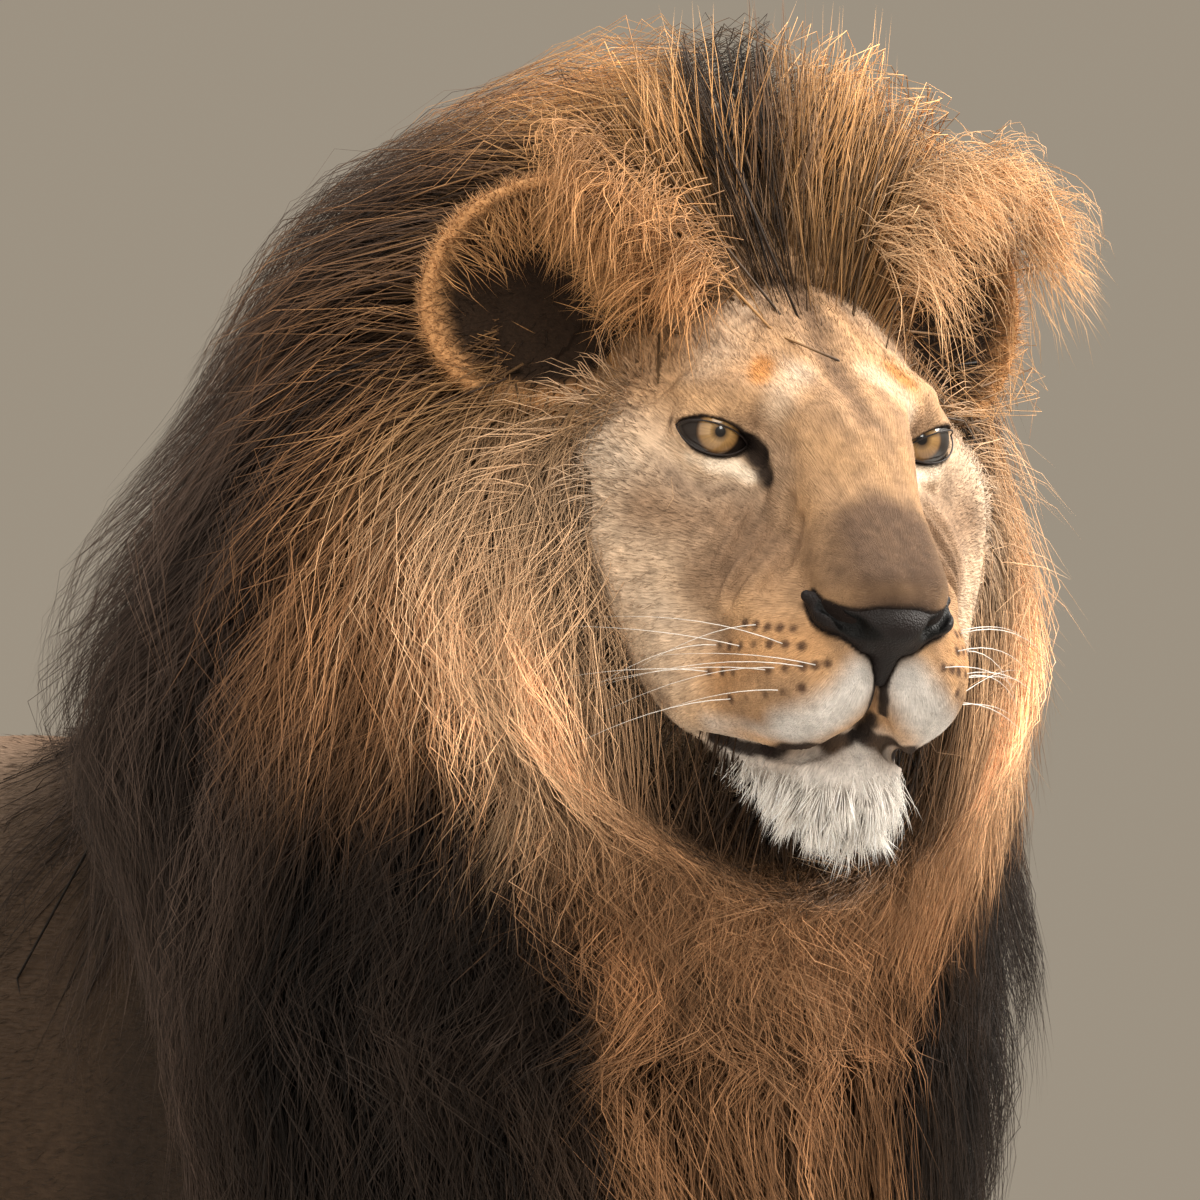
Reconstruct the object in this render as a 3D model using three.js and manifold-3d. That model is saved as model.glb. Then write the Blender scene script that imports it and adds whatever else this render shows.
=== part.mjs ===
// A life-size adult male lion, standing square with its head raised and turned a little to its right.
// Millimetres, +X forward along the body, +Y to the lion's left, +Z up, the floor at z = 0.
//
// The flesh is a set of smooth signed-distance fields: capsules and pillows that melt into each other.
// Each field is meshed on a grid, then parted into named pieces. The mane is a core that hugs the neck,
// with tapered locks fused in.
import * as THREE from "three";
import { mergeVertices } from "three/addons/utils/BufferGeometryUtils.js";
import Module from "manifold-3d";

const wasm = await Module();
wasm.setup();

// ---------------------------------------------------------------- driving dimensions
const WITHERS_Z = 1120; // height of the shoulders
const RUMP_Z = 1090; // height of the croup
const CHEST_HALF = 190; // half width of the rib cage
const SHOULDER_X = 470; // point of the shoulder
const HIP_X = -545; // hip joint
const FORE_FOOT_Y = 140; // half the distance between the fore paws
const HIND_FOOT_Y = 128; // half the distance between the hind paws
const GAP = 0.3; // clearance between touching pieces

const HEAD_AT = new THREE.Vector3(730, -30, 1265); // point midway between the eyes
const HEAD_TURN = -9; // degrees, head turned to the lion's right
const HEAD_NOD = 8.5; // degrees, nose down
const HEAD_ROLL = -2.5; // degrees, left side lower

const NECK_X = 415; // where the torso ends and the neck begins
const EYE_AT = [-4, 54, -1]; // eyeball centre in the head's own frame
const EYE_R = 19.5;
const CORE_SHARE = 0.5; // share of the mane's depth that its core fills
const LOCK_TIERS = [0, 46, 98, 165, 237, 309, 381, 447]; // distance of each ring of locks from the face
const CREST_TIERS = 3; // the first rings, whose locks stand up over the crown
const LOCKS_PER_RING = 10;
const LOCK_LENGTH = [180, 250]; // along the neck, shortest and longest
const CREST_LENGTH = [150, 185];
const LOCK_FLATNESS = 0.24; // thickness over width
const CREST_FLATNESS = 0.42;
const LOCK_COVER = 0.8; // width over the distance between neighbours
const LOCK_RISE = 0.75; // how soon a lock rises to the outside of the mane: 1 is evenly along its length
const LOCK_LIFT = 12; // how far the tips stand outside the mane's even form
const CREST_LIFT = 20;
const LOCK_SINK = 24; // depth of each root in the core
const TUFT_LOCKS = 4; // in each ring of the tail's tuft
const LID = 3.5; // thickness of the eyelids
const EYE_OPENING = [25, 9, 16]; // half width, half height and half depth of the gap between the lids
const EYE_OUTWARD = 30; // degrees that each eye looks outward
const EYE_SLANT = 22; // degrees that the inner corner lies lower
const EAR_AT = [-98, 113, 54]; // centre of the ear cup in the head's own frame
const EAR_SIZE = [28, 68, 60]; // half depth, half width, half height of the cup
const EAR_WALL = 6;
const HEAD_TRIANGLES = 2050;
const HIDDEN_WORTH = 0.01; // how much the skull under the mane counts when the head is thinned
const NAPE_X = -105; // where the skull ends and the neck begins, in the head's own frame

// ---------------------------------------------------------------- fields
const degrees = THREE.MathUtils.degToRad;

/** Round cone from a to b with end radii ra and rb, its section `wide` times as broad across Y. */
function limb(a, b, ra, rb, wide = 1) {
  const [ax, ay, az] = [a[0], a[1] / wide, a[2]];
  const [dx, dy, dz] = [b[0] - ax, b[1] / wide - ay, b[2] - az];
  const len2 = dx * dx + dy * dy + dz * dz;
  const scale = Math.min(1, wide);
  return (x, y, z) => {
    const px = x - ax;
    const py = y / wide - ay;
    const pz = z - az;
    const t = Math.min(1, Math.max(0, (px * dx + py * dy + pz * dz) / len2));
    const r = ra + (rb - ra) * t;
    return (Math.hypot(px - dx * t, py - dy * t, pz - dz * t) - r) * scale;
  };
}

/** Ellipsoid of the given half sizes, pitched nose-down by tilt and turned by turn, in degrees. */
function pillow(c, r, tilt = 0, turn = 0) {
  const m = new THREE.Matrix4()
    .makeRotationFromEuler(new THREE.Euler(0, degrees(tilt), degrees(turn), "ZYX"))
    .invert().elements;
  const [rx, ry, rz] = r;
  return (x, y, z) => {
    const [px, py, pz] = [x - c[0], y - c[1], z - c[2]];
    const u = (m[0] * px + m[4] * py + m[8] * pz) / rx;
    const v = (m[1] * px + m[5] * py + m[9] * pz) / ry;
    const w = (m[2] * px + m[6] * py + m[10] * pz) / rz;
    const k0 = Math.hypot(u, v, w);
    const k1 = Math.hypot(u / rx, v / ry, w / rz);
    return k1 < 1e-9 ? -Math.min(rx, ry, rz) : (k0 * (k0 - 1)) / k1;
  };
}

function smoothMin(a, b, k) {
  const h = Math.max(k - Math.abs(a - b), 0);
  return Math.min(a, b) - (h * h) / (4 * k);
}

/** Joins the forms one after another; each melts into the sum over its own blend distance. */
function melt(...forms) {
  const [first, ...rest] = forms;
  return (x, y, z) => {
    let d = first(x, y, z);
    for (const [form, k] of rest) d = smoothMin(d, form(x, y, z), k);
    return d;
  };
}

/** Takes the groove out of the form with a rounded edge. */
const carve = (form, groove, k) => (x, y, z) =>
  -smoothMin(-form(x, y, z), groove(x, y, z), k);

const mirrored = (form) => (x, y, z) => form(x, Math.abs(y), z);
const moved = (form, dx, dy, dz) => (x, y, z) => form(x - dx, y - dy, z - dz);

// ---------------------------------------------------------------- torso, neck, legs, tail
const torso = melt(
  pillow([170, 0, 835], [330, CHEST_HALF, 252]),
  [limb([310, 0, WITHERS_Z - 85], [-100, 0, 972], 82, 104, 1.1), 70],
  [limb([-100, 0, 972], [-530, 0, RUMP_Z - 112], 104, 112, 1.15), 60],
  [pillow([-110, 0, 790], [340, 165, 185], -3), 80],
  [pillow([-330, 0, 850], [250, 148, 165], -6), 80],
  [pillow([-545, 0, 900], [175, 150, 168]), 70],
  [pillow([420, 0, 800], [150, 152, 210]), 80],
  [pillow([390, 0, 650], [160, 95, 105]), 70],
);

const shoulderMass = (s) =>
  melt(
    limb([305, s * 92, WITHERS_Z - 85], [SHOULDER_X - 5, s * 132, 790], 74, 92, 0.78),
    [limb([285, s * 118, 900], [285, s * 150, 640], 82, 66, 0.72), 60],
  );

const foreLeg = (s) =>
  melt(
    limb([SHOULDER_X, s * 138, 775], [325, s * 152, 590], 94, 78, 0.85),
    [limb([322, s * 152, 590], [362, s * 146, 400], 78, 60, 0.9), 45],
    [limb([362, s * 146, 400], [372, s * FORE_FOOT_Y, 260], 58, 47, 1), 30],
    [limb([372, s * FORE_FOOT_Y, 262], [385, s * FORE_FOOT_Y, 110], 47, 46, 1.08), 25],
    [limb([345, s * FORE_FOOT_Y, 235], [350, s * FORE_FOOT_Y, 205], 22, 16), 22],
  );

const hindLeg = (s) =>
  melt(
    limb([HIP_X, s * 82, 880], [-440, s * 125, 650], 158, 98, 0.66),
    [limb([-620, s * 82, 860], [-590, s * 122, 600], 112, 70, 0.66), 60],
    [limb([-440, s * 128, 640], [-640, s * HIND_FOOT_Y, 380], 94, 46, 0.78), 50],
    [limb([-655, s * HIND_FOOT_Y, 372], [-700, s * HIND_FOOT_Y, 338], 44, 36, 0.9), 30],
    [limb([-678, s * HIND_FOOT_Y, 330], [-632, s * HIND_FOOT_Y, 105], 40, 39, 1.05), 28],
  );

/** Paw with four toes, its heel over the origin and its toes forward; half width `half`. */
const paw = (half, long) =>
  melt(
    pillow([long * 0.42, 0, 42], [long * 0.55, half, 46], 6),
    ...[-1, -0.34, 0.34, 1].map((side) => {
      const reach = long * (Math.abs(side) > 0.5 ? 0.86 : 1);
      const y = side * half * 0.66;
      return [limb([reach * 0.62, y * 0.8, 44], [reach, y, 27], 24, 25), 9];
    }),
    [pillow([long * 0.2, 0, 14], [long * 0.3, half * 0.7, 22]), 14],
  );

const FORE_PAW = { half: 62, long: 118, x: 372 };
const HIND_PAW = { half: 56, long: 108, x: -640 };
const forePaw = paw(FORE_PAW.half, FORE_PAW.long);
const hindPaw = paw(HIND_PAW.half, HIND_PAW.long);

const TAIL_PATH = [
  [-660, 0, 985, 62],
  [-745, 4, 955, 44],
  [-822, 12, 850, 31],
  [-862, 22, 700, 25],
  [-884, 34, 540, 21],
  [-915, 46, 400, 19],
  [-968, 56, 300, 18],
];
const tail = melt(
  limb(TAIL_PATH[0], TAIL_PATH[1], TAIL_PATH[0][3], TAIL_PATH[1][3]),
  ...TAIL_PATH.slice(2).map((p, i) => [limb(TAIL_PATH[i + 1], p, TAIL_PATH[i + 1][3], p[3]), 14]),
);

const TUFT_TOP = 425; // height where the tail's tuft begins
const TUFT_SPINE = [
  [-905, 43, 430],
  [-940, 52, 345],
  [-972, 58, 270],
  [-992, 60, 190],
];
const tuft = melt(
  limb(TUFT_SPINE[0], TUFT_SPINE[1], 22, 30),
  [limb(TUFT_SPINE[1], TUFT_SPINE[2], 30, 20), 10],
);

const trunk = melt(
  torso,
  [shoulderMass(1), 55],
  [shoulderMass(-1), 55],
  [foreLeg(1), 50],
  [foreLeg(-1), 50],
  [hindLeg(1), 60],
  [hindLeg(-1), 60],
  ...[1, -1].flatMap((s) => [
    [moved(forePaw, FORE_PAW.x, s * FORE_FOOT_Y, 0), 26],
    [moved(hindPaw, HIND_PAW.x, s * HIND_FOOT_Y, 0), 26],
  ]),
);

const neck = melt(
  limb([400, 0, 930], [572, -12, 1190], 200, 128, 0.95),
  [limb([300, 0, WITHERS_Z - 80], [540, -10, 1250], 84, 92, 1), 70],
  [limb([470, -4, 820], [606, -18, 1120], 124, 92, 1), 60],
);

// ---------------------------------------------------------------- head
// In its own frame: the origin is midway between the eyes.
const head = mirrored(
  carve(
    melt(
      pillow([-95, 0, 5], [104, 84, 70]),
      [pillow([-52, 66, -48], [62, 44, 58]), 34],
      [pillow([-72, 62, -88], [66, 46, 58]), 34],
      [limb([-42, 0, 20], [26, 0, -8], 44, 38, 1.2), 26],
      [pillow([0, 40, 17], [34, 26, 18], 18, 12), 18],
      [limb([-42, 78, -42], [8, 62, -112], 36, 32), 26],
      [limb([26, 0, -10], [100, 0, -66], 36, 24, 1.2), 20],
      [limb([20, 44, -62], [70, 28, -98], 34, 30), 24],
      [pillow([74, 27, -112], [42, 29, 38]), 16],
      [pillow([90, 17, -110], [22, 18, 28]), 10],
      [limb([62, 34, -122], [22, 58, -132], 26, 22), 14],
      [limb([62, 8, -160], [-70, 48, -122], 26, 40, 1), 22],
      [pillow([70, 0, -166], [24, 28, 22]), 14],
    ),
    melt(
      pillow([26, 47, -12], [13, 17, 12], 0, -30),
      [limb([104, 0, -112], [98, 0, -134], 3, 3), 3],
    ),
    9,
  ),
);

// The line of the mouth runs from under the nose, down round the lip pads, back to the corner.
const MOUTH_LINE = [
  [104, 0, -132],
  [98, 16, -140],
  [82, 36, -153],
  [58, 54, -157],
  [34, 66, -151],
  [20, 74, -144],
];
const mouth = mirrored(
  melt(
    limb(MOUTH_LINE[0], MOUTH_LINE[1], 3, 3),
    ...MOUTH_LINE.slice(2).map((p, i) => [limb(MOUTH_LINE[i + 1], p, 3, 3), 2]),
  ),
);
const headForm = carve(head, mouth, 6);

const nose = mirrored(
  carve(
    melt(
      pillow([106, 0, -74], [22, 30, 15], 20),
      [limb([104, 10, -72], [96, 36, -68], 12, 7), 8],
      [limb([108, 0, -82], [98, 0, -106], 12, 5), 8],
    ),
    melt(limb([124, 19, -82], [104, 22, -80], 6, 4), [limb([116, 24, -79], [108, 38, -70], 5, 3), 4]),
    4,
  ),
);

const HEAD_MATRIX = new THREE.Matrix4().compose(
  HEAD_AT,
  new THREE.Quaternion().setFromEuler(
    new THREE.Euler(degrees(HEAD_ROLL), degrees(HEAD_NOD), degrees(HEAD_TURN), "ZYX"),
  ),
  new THREE.Vector3(1, 1, 1),
);
const INTO_HEAD = HEAD_MATRIX.clone().invert().elements;

/** A field of the head's own frame, read in the lion's frame. */
const worn = (form) => (x, y, z) => {
  const m = INTO_HEAD;
  return form(
    m[0] * x + m[4] * y + m[8] * z + m[12],
    m[1] * x + m[5] * y + m[9] * z + m[13],
    m[2] * x + m[6] * y + m[10] * z + m[14],
  );
};

// ---------------------------------------------------------------- mane, out to the tips of its hair
const earHollow = mirrored(pillow([-58, 132, 62], [66, 66, 62], 0, 32));
const maneOnHead = melt(
  pillow([-125, 0, 15], [85, 176, 190]),
  [pillow([-92, 0, -105], [78, 164, 110]), 50],
  [limb([34, 0, -200], [-70, 0, -225], 24, 74, 1.3), 60],
);
const maneBehind = melt(
  pillow([508, -8, 1248], [146, 236, 196]),
  [pillow([395, 0, 1120], [192, 262, 180]), 90],
  [limb([530, -8, 1130], [470, 0, 980], 200, 218, 1.0), 60],
  [pillow([490, 0, 930], [172, 218, 255]), 80],
  [pillow([548, -6, 890], [136, 146, 262], 8), 60],
  [limb([420, 0, 1095], [120, 0, 1090], 78, 52), 60],
  [pillow([430, 0, 640], [125, 108, 115]), 60],
);
const mane = carve(melt(maneBehind, [worn(maneOnHead), 70]), worn(earHollow), 24);

const flesh = (x, y, z) => Math.min(trunk(x, y, z), neck(x, y, z), worn(headForm)(x, y, z));

/** The dense underhair: less than half way from the skin to the tips. */
const underhair = (x, y, z) => CORE_SHARE * mane(x, y, z) + (1 - CORE_SHARE) * flesh(x, y, z);

// ---------------------------------------------------------------- the lie of the mane
// The hair grows in rings round a spine that runs from the face down the neck to the breast. It leaves
// each ring backward and downward, and rises from the underhair to the outside of the mane at its tips.
const MANE_SPINE = new THREE.CatmullRomCurve3(
  [
    [716, -27, 1258],
    [606, -14, 1222],
    [522, -8, 1135],
    [464, -2, 1012],
    [446, 0, 880],
    [436, 0, 730],
  ].map((p) => new THREE.Vector3(...p)),
);
const SPINE_LENGTH = MANE_SPINE.getLength();

/** The point at rho from the spine: `along` is in mm from the face, `round` in radians from the nape. */
function ringPoint(along, round, rho) {
  const u = Math.min(1, Math.max(0, along / SPINE_LENGTH));
  const tangent = MANE_SPINE.getTangentAt(u);
  const nape = new THREE.Vector3(0, 0, 1).addScaledVector(tangent, -tangent.z).normalize();
  const side = tangent.clone().cross(nape);
  return MANE_SPINE.getPointAt(u)
    .addScaledVector(tangent, along - u * SPINE_LENGTH)
    .addScaledVector(nape, rho * Math.cos(round))
    .addScaledVector(side, rho * Math.sin(round));
}

/** How far a form reaches from the spine in one direction of a ring. */
function reach(form, along, round) {
  const inside = (rho) => form(...ringPoint(along, round, rho)) < 0;
  let [near, far] = [20, 20];
  while (far < 520 && inside(far)) [near, far] = [far, far + 24];
  for (let step = 0; step < 7; step++) {
    const middle = (near + far) / 2;
    if (inside(middle)) near = middle;
    else far = middle;
  }
  return near;
}

// ---------------------------------------------------------------- meshing
/** Grid lines over several stretches, each [from, to, step]. */
function ticks(...stretches) {
  const out = [stretches[0][0]];
  for (const [from, to, step] of stretches) {
    const n = Math.max(1, Math.round((to - from) / step));
    for (let i = 1; i <= n; i++) out.push(from + ((to - from) * i) / n);
  }
  return out;
}

const CUBE_EDGES = [];
for (let a = 0; a < 8; a++)
  for (const bit of [1, 2, 4]) if (!(a & bit)) CUBE_EDGES.push([a, a | bit]);

/** True when the cube corners of the mask hang together along the cube's edges. */
function connected(mask) {
  if (!mask) return true;
  let seen = mask & -mask;
  for (let step = 0; step < 7; step++)
    for (const [a, b] of CUBE_EDGES) {
      const both = (1 << a) | (1 << b);
      if ((mask & both) === both && seen & both) seen |= both;
    }
  return seen === mask;
}
const SIMPLE = Array.from({ length: 256 }, (_, mask) => connected(mask) && connected(255 - mask));

/** Fills the nearest outer corner of each cell that two sheets of the surface would share. */
function untangle(value, [nx, ny, nz], at) {
  for (let changed = true; changed; ) {
    changed = false;
    for (let k = 0; k < nz - 1; k++)
      for (let j = 0; j < ny - 1; j++)
        for (let i = 0; i < nx - 1; i++) {
          let mask = 0;
          let nearest = -1;
          for (let n = 0; n < 8; n++) {
            const c = at(i + (n & 1), j + ((n >> 1) & 1), k + (n >> 2));
            if (value[c] < 0) mask |= 1 << n;
            else if (nearest < 0 || value[c] < value[nearest]) nearest = c;
          }
          if (SIMPLE[mask]) continue;
          value[nearest] = -0.5;
          changed = true;
        }
  }
}

/**
 * The zero surface of a field on a grid: a vertex in each crossed cell, a quad round each crossed edge.
 * The outermost grid points count as empty, so a form that runs out of the grid is closed off there.
 */
function surfaceOf(field, [xs, ys, zs]) {
  const [nx, ny, nz] = [xs.length, ys.length, zs.length];
  const at = (i, j, k) => (k * ny + j) * nx + i;
  const rim = (i, j, k, last) =>
    Math.min(i, j, k) === 0 || i === nx - last || j === ny - last || k === nz - last;
  const value = new Float32Array(nx * ny * nz);
  for (let k = 0; k < nz; k++)
    for (let j = 0; j < ny; j++)
      for (let i = 0; i < nx; i++) {
        const d = field(xs[i], ys[j], zs[k]);
        value[at(i, j, k)] = rim(i, j, k, 1) ? Math.abs(d) + 1 : d;
      }
  untangle(value, [nx, ny, nz], at);

  const positions = [];
  const cell = new Int32Array(nx * ny * nz).fill(-1);
  for (let k = 0; k < nz - 1; k++)
    for (let j = 0; j < ny - 1; j++)
      for (let i = 0; i < nx - 1; i++) {
        const corner = (n) => [i + (n & 1), j + ((n >> 1) & 1), k + (n >> 2)];
        const sum = [0, 0, 0];
        let crossings = 0;
        for (const [a, b] of CUBE_EDGES) {
          const [ca, cb] = [corner(a), corner(b)];
          const [va, vb] = [value[at(...ca)], value[at(...cb)]];
          if (va < 0 === vb < 0) continue;
          const t = va / (va - vb);
          sum[0] += xs[ca[0]] + (xs[cb[0]] - xs[ca[0]]) * t;
          sum[1] += ys[ca[1]] + (ys[cb[1]] - ys[ca[1]]) * t;
          sum[2] += zs[ca[2]] + (zs[cb[2]] - zs[ca[2]]) * t;
          crossings++;
        }
        if (!crossings) continue;
        cell[at(i, j, k)] = positions.length / 3;
        const size = [xs[i + 1] - xs[i], ys[j + 1] - ys[j], zs[k + 1] - zs[k]];
        const mean = sum.map((s) => s / crossings);
        positions.push(...(rim(i, j, k, 2) ? mean : settled(field, mean, size)));
      }

  const indices = [];
  const quad = (corners, flip) => {
    const across = (p, q) =>
      Math.hypot(...[0, 1, 2].map((n) => positions[3 * p + n] - positions[3 * q + n]));
    const ring = flip ? [...corners].reverse() : corners;
    const [p, q, r, s] = across(ring[0], ring[2]) <= across(ring[1], ring[3])
      ? ring
      : [ring[1], ring[2], ring[3], ring[0]];
    indices.push(p, q, r, p, r, s);
  };
  const around = (i, j, k, [u, v]) =>
    [[1, 1], [0, 1], [0, 0], [1, 0]].map(([a, b]) => {
      const corner = [i, j, k].map((n, m) => n - a * u[m] - b * v[m]);
      return cell[at(...corner)];
    });
  const [X, Y, Z] = [[1, 0, 0], [0, 1, 0], [0, 0, 1]];
  for (let k = 0; k < nz - 1; k++)
    for (let j = 0; j < ny - 1; j++)
      for (let i = 0; i < nx - 1; i++) {
        const inside = value[at(i, j, k)] < 0;
        if (j && k && inside !== value[at(i + 1, j, k)] < 0) quad(around(i, j, k, [Y, Z]), !inside);
        if (i && k && inside !== value[at(i, j + 1, k)] < 0) quad(around(i, j, k, [Z, X]), !inside);
        if (i && j && inside !== value[at(i, j, k + 1)] < 0) quad(around(i, j, k, [X, Y]), !inside);
      }
  const geometry = new THREE.BufferGeometry();
  geometry.setAttribute("position", new THREE.Float32BufferAttribute(positions, 3));
  geometry.setIndex(indices);
  return geometry;
}

/** Slides a point down the field's slope onto its surface, by less than half a cell. */
function settled(field, p, size) {
  const e = 0.5;
  const q = [...p];
  for (let step = 0; step < 2; step++) {
    const d = field(...q);
    const g = [0, 1, 2].map((n) => {
      const [up, down] = [[...q], [...q]];
      up[n] += e;
      down[n] -= e;
      return (field(...up) - field(...down)) / (2 * e);
    });
    const g2 = g[0] * g[0] + g[1] * g[1] + g[2] * g[2] || 1;
    for (let n = 0; n < 3; n++) {
      const limit = size[n] * 0.45;
      q[n] = Math.min(p[n] + limit, Math.max(p[n] - limit, q[n] - (d * g[n]) / g2));
    }
  }
  return q;
}

/**
 * Merges the flattest edges of a closed surface until about `target` triangles are left, soonest where
 * the surface is worth least.
 */
function thinned(geometry, target, worth = () => 1) {
  const points = Array.from({ length: geometry.attributes.position.count }, (_, i) =>
    new THREE.Vector3().fromBufferAttribute(geometry.attributes.position, i),
  );
  const index = geometry.index.array;
  let faces = Array.from({ length: index.length / 3 }, (_, t) => [...index.slice(3 * t, 3 * t + 3)]);
  const normalOf = ([a, b, c], swap, to) => {
    const [p, q, r] = [a, b, c].map((v) => (swap?.includes(v) ? to : points[v]));
    return q.clone().sub(p).cross(r.clone().sub(p));
  };
  while (faces.length > target) {
    const round = points.map(() => []);
    const error = points.map(() => new Float64Array(10));
    for (const face of faces) {
      const n = normalOf(face);
      const area = n.length();
      n.divideScalar(area || 1);
      const plane = [n.x, n.y, n.z, -n.dot(points[face[0]])];
      for (const v of face) {
        round[v].push(face);
        let slot = 0;
        for (let a = 0; a < 4; a++)
          for (let b = a; b < 4; b++) error[v][slot++] += plane[a] * plane[b] * area;
      }
    }
    const edges = [];
    for (const face of faces)
      for (let n = 0; n < 3; n++) {
        const [a, b] = [face[n], face[(n + 1) % 3]];
        if (a > b) continue;
        const q = error[a].map((e, i) => e + error[b][i]);
        const middle = points[a].clone().add(points[b]).multiplyScalar(0.5);
        const hold = 1e-3 * (q[0] + q[4] + q[7]);
        const m = new THREE.Matrix3().set(
          q[0] + hold, q[1], q[2],
          q[1], q[4] + hold, q[5],
          q[2], q[5], q[7] + hold,
        ).invert();
        const to = new THREE.Vector3(
          hold * middle.x - q[3],
          hold * middle.y - q[6],
          hold * middle.z - q[8],
        ).applyMatrix3(m);
        const [x, y, z] = to.toArray();
        const cost =
          q[0] * x * x + q[4] * y * y + q[7] * z * z + q[9] +
          2 * (q[1] * x * y + q[2] * x * z + q[5] * y * z + q[3] * x + q[6] * y + q[8] * z);
        const length2 = points[a].distanceToSquared(points[b]);
        edges.push({ a, b, to, cost: worth(middle) * cost + 1e-4 * length2 });
      }
    edges.sort((p, q) => p.cost - q.cost);
    const held = new Set();
    let left = faces.length;
    let merged = 0;
    for (const { a, b, to } of edges.slice(0, edges.length / 4)) {
      if (left <= target) break;
      if (held.has(a) || held.has(b)) continue;
      const ring = (v) => new Set(round[v].flat().filter((u) => u !== v));
      const [ringA, ringB] = [ring(a), ring(b)];
      if ([...ringA].filter((v) => ringB.has(v)).length !== 2) continue;
      const kept = [...round[a], ...round[b]].filter((f) => !(f.includes(a) && f.includes(b)));
      const turned = kept.some((f) => {
        const [before, after] = [normalOf(f), normalOf(f, [a, b], to)];
        return before.dot(after) < 0.5 * before.length() * after.length() || after.length() < 1;
      });
      if (turned) continue;
      for (const v of [...ringA, ...ringB]) held.add(v);
      for (const f of round[b]) f[f.indexOf(b)] = a;
      points[a].copy(to);
      left -= 2;
      merged++;
    }
    faces = faces.filter(([a, b, c]) => a !== b && b !== c && c !== a);
    if (!merged) break;
  }
  const out = new THREE.BufferGeometry().setFromPoints(points);
  out.setIndex(faces.flat());
  return out;
}

// ---------------------------------------------------------------- solids
/** A closed geometry as a solid. */
function solid(geometry, matrix = new THREE.Matrix4()) {
  const g = geometry.clone().applyMatrix4(matrix);
  g.deleteAttribute("normal");
  g.deleteAttribute("uv");
  const merged = mergeVertices(g, 1e-3);
  return new wasm.Manifold(
    new wasm.Mesh({
      numProp: 3,
      vertProperties: merged.attributes.position.array,
      triVerts: new Uint32Array(merged.index.array),
    }),
  );
}

/** The largest closed surface of a solid, as a geometry. */
function geometryOf(made) {
  const bodies = made.decompose().sort((a, b) => b.volume() - a.volume());
  const mesh = bodies[0].getMesh();
  const geometry = new THREE.BufferGeometry();
  const v = new Float32Array(mesh.numVert * 3);
  for (let i = 0; i < mesh.numVert; i++)
    v.set(mesh.vertProperties.subarray(i * mesh.numProp, i * mesh.numProp + 3), i * 3);
  geometry.setAttribute("position", new THREE.BufferAttribute(v, 3));
  geometry.setIndex(new THREE.BufferAttribute(new Uint32Array(mesh.triVerts), 1));
  return geometry;
}

/** A solid with every face moved outward by the clearance. */
function grown(made, by = GAP) {
  const mesh = made.getMesh();
  const at = (v) => new THREE.Vector3().fromArray(mesh.vertProperties, v * mesh.numProp);
  const normals = Array.from({ length: mesh.numVert }, () => []);
  for (let t = 0; t < mesh.numTri; t++) {
    const corners = mesh.triVerts.slice(3 * t, 3 * t + 3);
    const [p, q, r] = [...corners].map(at);
    const n = q.sub(p).cross(r.sub(p)).normalize();
    for (const v of corners) normals[v].push(n);
  }
  const points = normals.map((round, v) => {
    const sum = (f) => round.reduce((total, n) => total + f(n), 0);
    const [xy, xz, yz] = [sum((n) => n.x * n.y), sum((n) => n.x * n.z), sum((n) => n.y * n.z)];
    const push = new THREE.Vector3(sum((n) => n.x), sum((n) => n.y), sum((n) => n.z)).multiplyScalar(by);
    push.applyMatrix3(
      new THREE.Matrix3().set(
        sum((n) => n.x * n.x) + 0.05, xy, xz,
        xy, sum((n) => n.y * n.y) + 0.05, yz,
        xz, yz, sum((n) => n.z * n.z) + 0.05,
      ).invert(),
    );
    return at(v).add(push.clampLength(0, 3 * by));
  });
  const geometry = new THREE.BufferGeometry().setFromPoints(points);
  geometry.setIndex([...mesh.triVerts]);
  return solid(geometry);
}

/** A block between two corners, tipped about X by roll round its pivot, and grown by `grow`. */
function block(low, high, { pivot = [0, 0, 0], roll = 0, grow = 0 } = {}) {
  const size = high.map((h, i) => h - low[i] + 2 * grow);
  const middle = high.map((h, i) => (h + low[i]) / 2);
  const g = new THREE.BoxGeometry(...size).translate(...middle);
  const m = new THREE.Matrix4().makeTranslation(...pivot);
  m.multiply(new THREE.Matrix4().makeRotationX(degrees(roll)));
  return solid(g, m);
}

/** Parts a solid with a cutter: [what is inside it, what is outside it], with the gap between them. */
const part = (whole, cutter) => [whole.intersect(cutter(0)), whole.subtract(cutter(GAP))];

// ---------------------------------------------------------------- the pieces
const pieces = new Map();

const mirror = new THREE.Matrix4().makeScale(1, -1, 1);

/** The half of the world outside a leg's root: a plane through [x-range], tipped outward by roll. */
const legCutter = (x0, x1, y, z, roll) => (grow) =>
  block([x0, -500, -1400], [x1, 500, 0], { pivot: [0, y, z], roll, grow })
    .intersect(block([-1500, 8, -50], [1500, 700, 1500], { grow }));
const FORE_CUT = legCutter(150, 660, 120, 700, 48);
const HIND_CUT = legCutter(-755, -330, 80, 800, 50);
const tailCut = (grow) => block([-1500, -300, -50], [-724, 300, 1500], { grow });
const below = (z) => (grow) => block([-1500, -700, -50], [1500, 700, z], { grow });

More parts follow.
